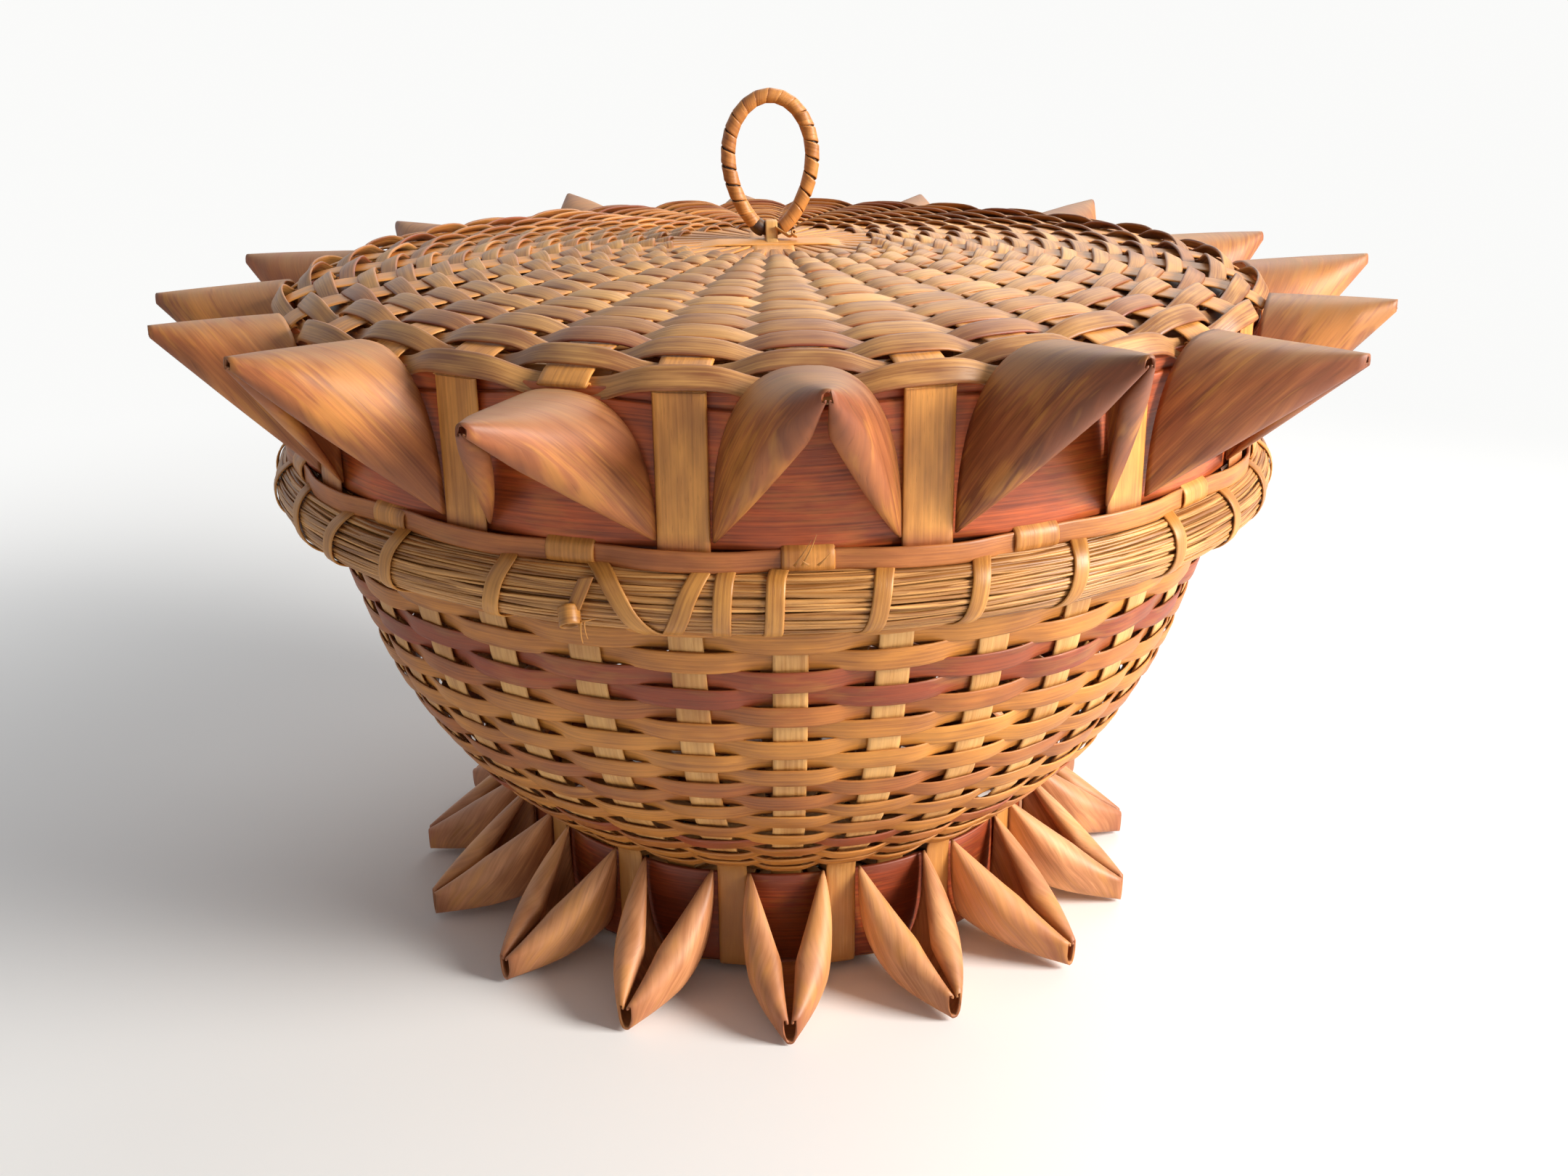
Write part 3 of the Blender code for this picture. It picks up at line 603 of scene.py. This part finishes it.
# Golden, a little glossier: the splint's smooth inner face
golden_ash = ash_splint("golden_ash_lashing", "#CF9246", "#8D5824", "#9A5F2D", roughness=0.42)
# Planed, plain and pale
hoop_ash = ash_splint("planed_ash_hoop", "#CD9B5D", "#9B6834", "#A6723C")
# Tan winding over a core that has gone nearly black
handle_ash = ash_splint("wound_ash_handle", "#CC8845", "#86491E", "#3C1F0E")
# Narrow satin blades, straw to brown, with fine veins along them
grass = ash_splint("dried_sweetgrass", "#E2A863", "#885424", "#AD753A", roughness=0.42,
                   grain_depth=0.03, patchy=0.0)


# The basket

# How red each row of the side is, from the foot up; the rows above these are plain
SIDE_DYES = (0, 0, 0, 0.1, 0.4, 0.9, 0, 0.1, 0, 0, 0.4, 0.5, 0.1, 0, 0, 0.15, 0.5, 0.95, 0.9, 0.1)


def bowl_outline():
    """The cubic through the foot, belly, shoulder and neck, then straight up to the rim."""
    stations = np.array([(FOOT_TOP, FOOT_RADIUS), BELLY, SHOULDER, (NECK_Z, NECK_RADIUS)])
    curve = np.polyfit(stations[:, 0], stations[:, 1], 3)
    heights = np.linspace(FOOT_TOP, NECK_Z, 40)
    round_part = list(zip(np.polyval(curve, heights), heights))
    return outline([*round_part, (NECK_RADIUS, WEAVE_TOP)], 4.0)


def make_side():
    """The side's weavers, a little wider than their pitch so that they press together."""
    line = bowl_outline()
    total = length_of(line)
    rows = np.arange(SIDE_ROWS + 1) / SIDE_ROWS
    edges = total * (rows * SIDE_PITCH_SHARE + (1 - SIDE_PITCH_SHARE) * rows ** 2)
    places = (edges[:-1] + edges[1:]) / 2 + rng.uniform(-0.2, 0.2, SIDE_ROWS)
    dyes = np.pad(SIDE_DYES, (0, SIDE_ROWS - len(SIDE_DYES)))
    tones = rng.uniform(-0.12, 0.12, SIDE_ROWS)
    overlap = 1.16
    rings = weaver_rings(inset(line), places, overlap * np.diff(edges), swing=0.75, turn=0.0, steps=288,
                         narrowing=0.06, thick=0.5, dye=dyes[:, None, None], tone=tones[:, None, None])
    weave("side_weavers", [rings], natural_ash, "basket", ["side_weave"])
    return line, places


def make_basket_stakes(line, places):
    """Stakes from the centre of the base, out to the foot, up it, and up the side. Every
    other one stands behind the foot's band. Up to the side's weave they are darker, a painted shade for
    their place under the base and behind the foot."""
    inside = inset(line)
    base_z, behind_band = 1.7, 1.7
    parts = []
    for odd in (0, 1):
        foot = FOOT_RADIUS - 0.25 - (0.0 if odd else behind_band)
        path = outline([(6.0, base_z), (foot, base_z), (foot, FOOT_TOP - 1.0)], 2.5)
        path = np.concatenate([path, inside[4:], [(inside[-1][0] - 0.3, RIM_TOP)]])
        path = outline(path, 2.0)
        place = np.linspace(0, length_of(path), 200)
        azimuths = STAKE_STEP * np.arange(odd, STAKES, 2) + rng.normal(0, 0.004, CURLS)
        start = length_of(path) - length_of(line)
        row = np.interp(place - start, places, np.arange(SIDE_ROWS))
        lift = np.where(place > start, -0.15 * np.cos(np.pi * (row + odd)), 0.0)
        width = np.minimum(SIDE_STAKE, SPOKE_SHARE * STAKE_STEP * follow(path, place)[0])
        # Painted shade: the stakes are darkened where they run under the base and up behind the foot
        painted_shade = -0.7 * (place < start)
        parts.append(stake_strips(path, place, azimuths, width, lift,
                                  tone=rng.uniform(-0.15, 0.15, (CURLS, 1, 1)) + painted_shade[None, :, None]))
    parts.append(crossed_stakes(17.0, top=2.35, layer_height=0.06, width=6.6,
                                order=(3, 7, 1, 5, 2, 6, 0, 4), tone=-0.3))
    weave("side_stakes", parts, cream_ash, "basket", ["stake_frame"])


def make_base():
    """Rows woven through the spokes under the foot."""
    height, pitch = 0.75, 3.6
    line = outline([(FOOT_RADIUS - 0.8, height), (6.0, height)], 0.5)[::-1]
    places = np.arange(1.0, length_of(line) - 2, pitch)
    rings = weaver_rings(line, places, np.full(len(places), 3.5), swing=0.25, turn=0.0, steps=256,
                         sway=0.15, tone=rng.uniform(-0.1, 0.1, (len(places), 1, 1)))
    weave("base_weavers", [rings], natural_ash, "basket", ["base_weave"])


def make_foot_band():
    azimuth = ring_azimuths(256)
    top, bottom = FOOT_TOP - 1.7, 2.3
    radius = FOOT_RADIUS - 1.1 + 0.2 * over_under(azimuth * CURLS)
    # tone -0.45 is painted shade: the band is darkened for the shadow it lies in behind the foot points
    band = hoop(azimuth, radius, (top + bottom) / 2, top - bottom, 0.5, dye=0.5, tone=-0.45)
    weave("foot_dyed_band", [band], dyed_band, "basket", ["foot_band"])


def make_rim():
    azimuth = ring_azimuths(256)
    for name, node in (("rim_hoop_outside", "rim_outer_hoop"), ("rim_hoop_inside", "rim_inner_hoop")):
        ring = hoop(azimuth, reach(node) - 0.5, RIM_MIDDLE, RIM_TOP - RIM_BOTTOM, 1.1)
        weave(name, [ring], hoop_ash, "basket", [node])
    mid = (reach("rim_outer_hoop") + reach("rim_inner_hoop") - 1.2) / 2  # between their walls
    loops = wound_section(mid, RIM_MIDDLE, inner=2.15, outer=2.15, half_height=3.35)
    gaps = np.arange(CURLS) * 2 * STAKE_STEP + STAKE_STEP / 2
    lashing = lashing_splint(loops, gaps - 0.03, gaps + 0.03)
    weave("rim_lashing_splint", [lashing], golden_ash, "basket", ["rim_lashing"])


def make_foot_points():
    for number in range(CURLS):
        tip_z = rng.uniform(-0.3, 0.5)
        tip, side = 23.6 + rng.uniform(-1, 0.6), rng.uniform(-1.2, 1.2)
        skin = curl_skin(FOOT_RADIUS - 0.2, lean=0.0, feet=(23.2, 6.0 + tip_z), crests=(2.6, 0.7 + tip_z),
                         half_widths=(7.3, 1.2), swell=2.3, tip=tip, side=side, roll=3.3)
        part = curl_part(skin, 2 * STAKE_STEP * number, rng.uniform(0, 0.4), rng.uniform(-0.1, 0.1))
        node = f"foot_point_{number + 1:02d}"
        weave(f"foot_point_splint_{number + 1:02d}", [part], foot_ash, "basket", [node])


# The lid

# How red the outermost rows of the lid are, from its edge inwards
LID_EDGE_DYES = (0.1, 0.0, 0.15, 0.6, 0.1, 0.3)

# How far each curl in view has its tip to the side, up and out, and its crest up, and how
# much darker than the others some of them are
TIP_OFFSETS = {
    -5: (4.2, -1.2, 0, 0), -4: (0, -2.2, 0, 0), -3: (0, 0, -3, 0), -2: (0.2, 2.8, 0, 1.4),
    -1: (-2.2, -1.8, 0, -2.4), 0: (0.8, 4.2, 0, 2.0), 1: (-0.5, 5.8, 0, 3.4), 2: (5.2, -1.5, 0, 0),
    3: (0, 0, -3, 0), 4: (-1, 1.2, 0, 0), 5: (-5, -0.2, 0, 0),
}
CURL_TONES = {0: -0.1, 1: -0.35, 2: -0.25, 3: -0.1}

# The lid's rim is lashed in two lengths, one each way from the front. In front the turns
# stand where the photograph shows them, in degrees at their bottoms and tops, and beyond
# that one stands in each gap between the stakes, from the gap given last
LASHINGS = (
    (1, (-11.7, -6.5, -1.8, 6.8, 15.8, 26.3, 41.2), (-7.6, -5.9, -1.3, 8.7, 18.1, 28.8, 41.4), 52.1),
    (-1, (-11.7, -29.8, -43.1, -54.2), (-18.5, -26.3, -40.0, -49.1), -60.4),
)


def lid_outline(reach_in):
    """The lid's outside from its edge up the tilted outermost row and in over the dome."""
    radii = np.linspace(LID_RADIUS - 10.0, reach_in, 40)
    dome = [(r, CROWN - DOME_RISE * (r / LID_RADIUS) ** 2) for r in radii]
    return [(LID_RADIUS - 0.2, LID_EDGE - 1.2), (LID_RADIUS - 3.0, LID_EDGE + 0.8),
            (LID_RADIUS - 6.5, LID_EDGE + 2.1), *dome]


def make_lid_top():
    """The lid's rows from its edge inwards. Their pitch eases from wide to narrow over the
    outer 37 mm, and the wide ones swing and lean more and are darker."""
    line = outline(lid_outline(3.0), 4.0)
    narrow_within, eases_over = 60, 37
    place = 1.8
    places, pitches = [], []
    while place < length_of(line) - LID_CENTRE + 3:
        ease = np.clip((follow(line, place)[0] - narrow_within) / eases_over, 0, 1)
        pitches.append(INNER_PITCH + PITCH_GAIN * ease * ease * (3 - 2 * ease))
        places.append(place + rng.uniform(-0.25, 0.25))
        place += pitches[-1]
    outwards = (np.array(pitches) - INNER_PITCH) / PITCH_GAIN
    count = len(places)
    widths = (INNER_PITCH + PITCH_GAIN * outwards) * (1.14 - 0.2 * outwards) * rng.uniform(0.94, 1.06, count)
    dyes = rng.choice([0, 0, 0, 0.1, 0.3, 0.7], count)
    dyes[:len(LID_EDGE_DYES)] = LID_EDGE_DYES
    edges = 0.45 * (np.abs(SECTION[:, 0]) > 0.9)
    tones = rng.uniform(-0.28, 0.28, count) - 0.3 * outwards ** 4
    rings = weaver_rings(inset(line), places, widths, swing=0.5 + 0.4 * outwards, turn=LID_TURN, steps=320,
                         first_over=1, thick=0.6, sway=0.35, lean=0.22 + 0.2 * outwards,
                         dye=dyes[:, None, None] + edges, tone=tones[:, None, None])
    weave("lid_top_weavers", [rings], lid_weaver, "lid", ["lid_top_weave"])


def make_lid_stakes():
    """Stakes from inside the sweetgrass up the wall and in over the dome. Every other one
    shows on the wall, stained where the narrow row has bled, and the rest go behind the
    wide band and come out over the narrow row."""
    parts = []
    for odd in (0, 1):
        wall_in = BAND_RADIUS - 1.2
        wall = BAND_RADIUS + 0.55 if odd else wall_in
        foot = wall if odd else BAND_RADIUS + 1.1
        lower = [(wall_in, GRASS_BOTTOM + 0.5), (wall_in, GRASS_TOP - 1.0), (foot, GRASS_TOP + 0.2)]
        upper = [(foot, BAND_BOTTOM - 0.3), (wall, BAND_BOTTOM + 1.5), (wall, BAND_TOP + 1)]
        dome = [(r - 0.15, z - 0.3) for r, z in lid_outline(4.0)]
        line = outline([*lower, *upper, *dome], 1.6)
        place = np.linspace(0, length_of(line), 170)
        azimuths = LID_TURN + STAKE_STEP * np.arange(odd, STAKES, 2) + rng.normal(0, 0.003, CURLS)
        radius, height = follow(line, place)[:2]
        width = np.minimum(LID_STAKE, SPOKE_SHARE * STAKE_STEP * radius)
        stained = 0.9 * odd * np.clip((BAND_BOTTOM + 2.5 - height) / 2.5, 0, 1)
        parts.append(stake_strips(line, place, azimuths, width, dye=stained[:, None],
                                  tone=rng.uniform(-0.15, 0.15, (CURLS, 1, 1))))
    parts.append(crossed_stakes(LID_CENTRE + 4, top=CROWN + 0.05, layer_height=0.24, width=LID_STAKE,
                                order=(6, 2, 5, 1, 7, 3, 0, 4), tone=0.7))
    weave("lid_stakes", parts, lid_ash, "lid", ["lid_stake_frame"])


def make_lid_bands():
    """The wide band with an uneven top edge before a second one that fills the gap under
    the lid's edge, and the narrow row under them."""
    azimuth = ring_azimuths(384, np.pi + LID_TURN + STAKE_STEP)
    wave = over_under((azimuth - LID_TURN) * CURLS)
    bands = []
    uneven = ripple(azimuth[None], 1.6, (3, 8, 11))[0]
    for radius, top, bottom in ((BAND_RADIUS - 0.25, BAND_TOP - 2.2 + uneven, BAND_BOTTOM - 0.45),
                                (BAND_RADIUS - 0.95, BAND_TOP + 0.4, BAND_TOP - 8.45)):
        bands.append(hoop(azimuth, radius + 0.25 * wave, (top + bottom) / 2, top - bottom, 0.45, dye=0.2))
    weave("lid_dyed_band", bands, dyed_band, "lid", ["lid_wide_band"])
    height = NARROW_MIDDLE + ripple(azimuth[None], 0.4, (5, 9, 16))[0]
    dye = 0.2 + 0.2 * over_under(2 * azimuth + 1.0)
    row = hoop(azimuth, BAND_RADIUS + 1.0 - 0.6 * wave, height, NARROW_HEIGHT, 0.6, dye=dye[None, :, None])
    weave("lid_narrow_row", [row], dyed_weaver, "lid", ["lid_narrow_weaver"])


def make_lid_hoop():
    ring = hoop(ring_azimuths(256), HOOP_RADIUS - 0.45, GRASS_MIDDLE, 2 * GRASS_HALF, 0.85)
    weave("lid_hoop_inside", [ring], hoop_ash, "lid", ["lid_inner_hoop"])


def make_sweetgrass():
    """Blades laid round the rim: two layers over half an ellipse, each blade wandering a
    little with a flat oval section."""
    count = OUTER_BLADES + INNER_BLADES
    azimuth = rng.uniform(0, 2 * np.pi, (count, 1)) + ring_azimuths(300)
    number = np.arange(count)[:, None]
    layer = number >= OUTER_BLADES
    share = (number - OUTER_BLADES * layer + 0.5) / np.where(layer, INNER_BLADES, OUTER_BLADES)
    angle = np.pi * share + ripple(azimuth, 0.13, (2, 5, 9, 14))
    depth = 0.35 + 0.7 * layer + ripple(azimuth, 0.3, (3, 7, 12, 21))
    radius = GRASS_WALL + (GRASS_RADIUS - GRASS_WALL - depth) * np.sin(np.clip(angle, 0.01, 3.13)) ** 0.8
    height = GRASS_MIDDLE + (GRASS_HALF - depth) * np.cos(angle)
    lines = around(radius, azimuth, height)
    facing = around(np.sin(angle), azimuth, np.cos(angle))
    across = around(np.cos(angle), azimuth, -np.sin(angle))
    wide = rng.uniform(0.45, 0.95, (count, 1)) * (1 + 0.5 * layer) * (1 + ripple(azimuth, 0.3, (4, 11, 17)))
    strands = splints(lines, facing, across, wide, rng.uniform(0.4, 0.6, (count, 1)), True,
                      dye=rng.uniform(0, 0.6, (count, 1, 1)), tone=rng.uniform(-0.4, 0.3, (count, 1, 1)),
                      section=round_section(5))
    weave("sweetgrass_blades", [strands], grass, "lid", ["lid_grass_rim"])


def rim_section(lift):
    return wound_section(GRASS_WALL, GRASS_MIDDLE, GRASS_WALL - HOOP_RADIUS + 1.4,
                         GRASS_RADIUS - GRASS_WALL + 0.2 + lift, GRASS_HALF + 0.3 + lift)


def lashing_knot():
    """The second length's end: it hangs from the rim's top and is rolled up to a short tube
    at its tip."""
    knot_azimuth, knot_z = np.radians(-20.0), 92.4
    share = np.linspace(0, 1, 40)
    azimuth = np.radians(-18.3 - 1.3 * share)
    hanging = around(GRASS_RADIUS + 0.5 + 0.5 * share, azimuth, 98.9 - 5.4 * share)
    spin = np.radians(-30) + 2.6 * np.pi * share
    size = 1.7 - 0.5 * share
    right = around(1.0, knot_azimuth + np.pi / 2, 0.35)
    towards = around(1.0, knot_azimuth, 0.6)
    out = np.cos(spin)[:, None] * right + np.sin(spin)[:, None] * towards
    rolled = around(GRASS_RADIUS + 1.0, knot_azimuth, knot_z) + size[:, None] * out
    upright = unit(np.cross(right, towards))
    lines = np.stack([hanging, rolled])
    facing = np.stack([around(1.0, azimuth, 0.0), out])
    across = np.stack([around(1.0, azimuth + np.pi / 2, 0.15), upright + 0 * out])
    return splints(lines, facing, across, [[2.6], [3.2]], 0.35, tone=np.reshape([-0.5, -0.3], (2, 1, 1)))


def make_lid_lashing():
    """The two lengths, the second a little over the first with the knot, and the frayed
    fibres below the knot and over the narrow row."""
    step = np.degrees(STAKE_STEP)
    for number, (way, front_bottoms, front_tops, first_gap) in enumerate(LASHINGS):
        gaps = first_gap + way * step * np.arange((178 - abs(first_gap)) // step)
        bottoms = np.radians([*front_bottoms, *(gaps + rng.uniform(-1.6, 1.6, len(gaps)))])
        tops = np.radians([*front_tops, *(gaps + rng.uniform(-1.0, 1.0, len(gaps)))])
        parts = [lashing_splint(rim_section(0.15 * number), bottoms, tops)]
        if way < 0:
            parts.append(lashing_knot())
            root = around(np.array([102.0, 102.0, 101.8]), np.radians([-18.7, -18.4, -18.9]), 92.0)
            ends = np.array([(0.2, 0, -3.6), (0.5, 0, -2.8), (2.6, 0, 0.4)])
            width = 0.35
        else:
            root = around(98.2, np.radians([0.2, 0.9, 1.6, 2.3]), 101.0)
            ends = np.array([(2.6, -0.7, 4.4), (2.2, -0.9, 5.3), (-1.6, -0.6, 1.4), (1.9, -0.6, 2.2)])
            width = 0.4
        parts.append(fibres(root, root + ends, width))
        weave(f"lid_lashing_splint_{number + 1}", parts, golden_ash, "lid",
              [f"lid_rim_lashing_{number + 1}"])


def make_lid_curls():
    for number in range(CURLS):
        k = number if number <= CURLS // 2 else number - CURLS
        unseen = (rng.uniform(-3, 3), rng.uniform(-2, 3), 0, rng.uniform(-1, 1))
        side, up, out, rise = TIP_OFFSETS.get(k, unseen)
        skin = curl_skin(BAND_RADIUS + 0.6, lean=0.5, feet=(104.1, 127.9 + up),
                         crests=(129.8 + rise, 130.0 + up), half_widths=(14.4, 0.8), swell=0.4,
                         tip=26.0 + out, side=side, roll=2.4)
        tone = CURL_TONES.get(k, 0.0) + rng.uniform(-0.1, 0.1)
        part = curl_part(skin, LID_TURN + 2 * STAKE_STEP * number, rng.uniform(0, 0.35), tone)
        node = f"lid_curl_{number + 1:02d}"
        weave(f"lid_curl_splint_{number + 1:02d}", [part], curled_ash, "lid", [node])


# The handle

def loop_point(share):
    """The loop's middle line: an ellipse that narrows towards its foot."""
    angle = 2 * np.pi * share
    low_part = (1 + np.cos(angle)) / 2
    x = LOOP_HALF_WIDTH * np.sin(angle) * (1 - 0.3 * low_part ** 2)
    z = HANDLE_FOOT + LOOP_HALF_HEIGHT * (1 - np.cos(angle))
    direction = np.array([np.cos(LID_TURN), np.sin(LID_TURN), 0])
    return x[..., None] * direction + z[..., None] * np.array([0, 0, 1.0])


def make_handle():
    """The core with a dark tie near its foot, and the splint wound round all but the foot."""
    share = np.linspace(0, 1, 160, endpoint=False)
    side_on = np.array([np.sin(LID_TURN), -np.cos(LID_TURN), 0.0])
    line = loop_point(share)
    along = unit(np.roll(line, -1, 0) - np.roll(line, 1, 0))
    round_twelve = round_section(12)
    core = splints(line[None], np.cross(along, side_on)[None], side_on, 2 * CORE, 2 * CORE, True,
                   dye=1.0, tone=-0.5, section=round_twelve)
    tie_from, tie_to = 0.915, 0.965
    stub = loop_point(np.linspace(tie_from, tie_to, 12))
    along = unit(np.gradient(stub, axis=0))
    thick = 2 * CORE + 1.1 - 0.5 * np.linspace(-1, 1, 12)[None] ** 4
    tie = splints(stub[None], np.cross(along, side_on)[None], side_on, thick, thick,
                  dye=1.0, tone=-0.6, section=round_twelve)
    weave("handle_core_splint", [core, tie], handle_ash, "handle", ["handle_loop"])

    turns, bare = 21, 0.07
    turn = np.linspace(0, turns, turns * 24 + 1)
    share = bare + (1 - 2 * bare) * turn / turns
    along = unit(loop_point(share + 0.002) - loop_point(share - 0.002))
    out = np.cross(along, side_on)
    angle = (2 * np.pi * turn)[:, None]
    facing = np.cos(angle) * out + np.sin(angle) * side_on
    line = loop_point(share) + facing * (CORE + 0.2)
    across = unit(np.cross(unit(np.gradient(line, axis=0)), facing))
    wrap = splints(line[None], facing[None], across[None], width=2.75, thick=0.3, tone=0.05)
    weave("handle_wrap_splint", [wrap], handle_ash, "handle", ["handle_wrap"])


def make_keeper():
    """The splint over the loop's foot, whose ends lie flat on the lid, and its tail, which
    slopes down beside it and ends in a small roll."""
    arch, ledge = 2.1, 3.4
    angle = np.linspace(-np.pi / 2, np.pi / 2, 24)
    arch_line = np.stack([arch * np.sin(angle), HANDLE_FOOT + arch * np.cos(angle)], 1)
    ends = np.array([(-arch - ledge, CROWN + 0.1), (-arch - 0.2, CROWN + 0.4)])
    flat = np.concatenate([ends, arch_line, ends[::-1] * (-1, 1)])
    line = np.stack([-flat[:, 0] * np.sin(LID_TURN), flat[:, 0] * np.cos(LID_TURN), flat[:, 1]], 1)
    across = np.array([np.cos(LID_TURN), np.sin(LID_TURN), 0.0])
    facing = np.cross(across, unit(np.gradient(line, axis=0)))
    keeper = splints(line[None], facing[None], across, width=2.4, thick=0.5, tone=0.2)

    roll, straight_share = 0.6, 0.6
    share = np.linspace(0, 1, 24)
    spin = 2 * np.pi * np.clip((share - straight_share) / (1 - straight_share), 0, 1)
    x = 0.9 + 4.2 * share + roll * np.sin(spin)
    y = -1.9 - 1.6 * share
    z = HANDLE_FOOT + 0.95 - 1.6 * np.clip(share / straight_share, 0, 1) + roll * (1 - np.cos(spin))
    line = np.stack([x, y, z], 1)
    along = unit(np.gradient(line, axis=0))
    facing = unit(np.cross([0.0, -1.0, 0.3], along))
    across = np.cross(along, facing)
    tail = splints(line[None], facing[None], across[None], width=2.2, thick=0.35, tone=0.1)
    weave("handle_keeper_splint", [keeper, tail], cream_ash, "lid", ["handle_keeper"])


# The stage

def set_axes(thing, right, up, back, place):
    matrix = np.eye(4)
    matrix[:3] = np.stack([right, up, back, place], 1)
    thing.matrix_world = matrix.T


def make_camera():
    """The photograph's view, as worked out from the ring of curls and the foot."""
    place = np.array([-8.79, -335.6, 184.6])
    yaw, pitch, roll = np.radians([1.82, 20.14, -0.57])
    ahead = np.array([np.sin(yaw) * np.cos(pitch), np.cos(yaw) * np.cos(pitch), -np.sin(pitch)])
    right = np.array([np.cos(yaw), -np.sin(yaw), 0])
    up = np.cross(right, ahead)
    right, up = np.cos(roll) * right + np.sin(roll) * up, np.cos(roll) * up - np.sin(roll) * right
    camera = new_object("camera", bpy.data.cameras.new("camera"))
    set_axes(camera, right, up, -ahead, place / METRE)
    camera.data.sensor_width = 36.0
    camera.data.lens = 37.93
    camera.data.clip_start = 0.01
    bpy.context.scene.camera = camera


def make_light(name, place, size, watts, colour):
    """A square soft box that looks at the basket's middle."""
    light = bpy.data.lights.new(name, "AREA")
    light.energy = watts
    light.size = size
    light.color = colour
    back = unit(np.array(place) - (0, 0, 0.08))
    right = unit(np.cross([0, 0, 1.0], back))
    set_axes(new_object(name, light), right, np.cross(back, right), back, place)


def make_table():
    """A flat round sheet, 30 metres to its edge so that it meets the horizon."""
    sides = 64
    angle = np.linspace(0, 2 * np.pi, sides, endpoint=False)
    points = around(np.array([0.5, 2.0, 6.0, 30.0])[:, None], angle + np.pi / 2, 0.0)
    rings = np.arange(points.size // 3).reshape(-1, sides)
    inner, outer = rings[:-1], rings[1:]
    faces = np.stack([inner, outer, np.roll(outer, -1, 1), np.roll(inner, -1, 1)], -1)
    mesh = bpy.data.meshes.new("table")
    mesh.from_pydata(points.reshape(-1, 3).tolist(), [], [rings[0].tolist(), *faces.reshape(-1, 4).tolist()])
    mesh.materials.append(white_table())
    table = new_object("table", mesh)


def make_room():
    """A white room, which the camera and reflections see as white and which lights softly,
    with a window to the right and a fill light behind."""
    world = bpy.data.worlds.new("white_room")
    bpy.context.scene.world = world
    world.use_nodes = True
    tree = world.node_tree
    rays = add(tree, "LightPath", {}).outputs
    seen = add(tree, "Math", {0: rays["Is Camera Ray"], 1: rays["Is Glossy Ray"]}, operation="MAXIMUM")
    shade = mix_colours(tree, seen.outputs[0], (0.28, 0.28, 0.28, 1), OFF_WHITE)
    tree.links.new(shade, tree.nodes["Background"].inputs["Color"])
    make_light("window", (0.91, -0.37, 0.48), size=0.42, watts=21.5, colour=(1.0, 0.95, 0.87))
    make_light("back_fill", (0.4, 0.8, 0.9), size=0.9, watts=5.5, colour=(1.0, 0.97, 0.92))
    bpy.context.scene.view_settings.view_transform = "Standard"


make_camera()
make_table()
make_room()
side_line, side_rows = make_side()
make_basket_stakes(side_line, side_rows)
make_base()
make_foot_band()
make_rim()
make_foot_points()
make_lid_top()
make_lid_stakes()
make_lid_bands()
make_lid_hoop()
make_sweetgrass()
make_lid_lashing()
make_lid_curls()
make_handle()
make_keeper()
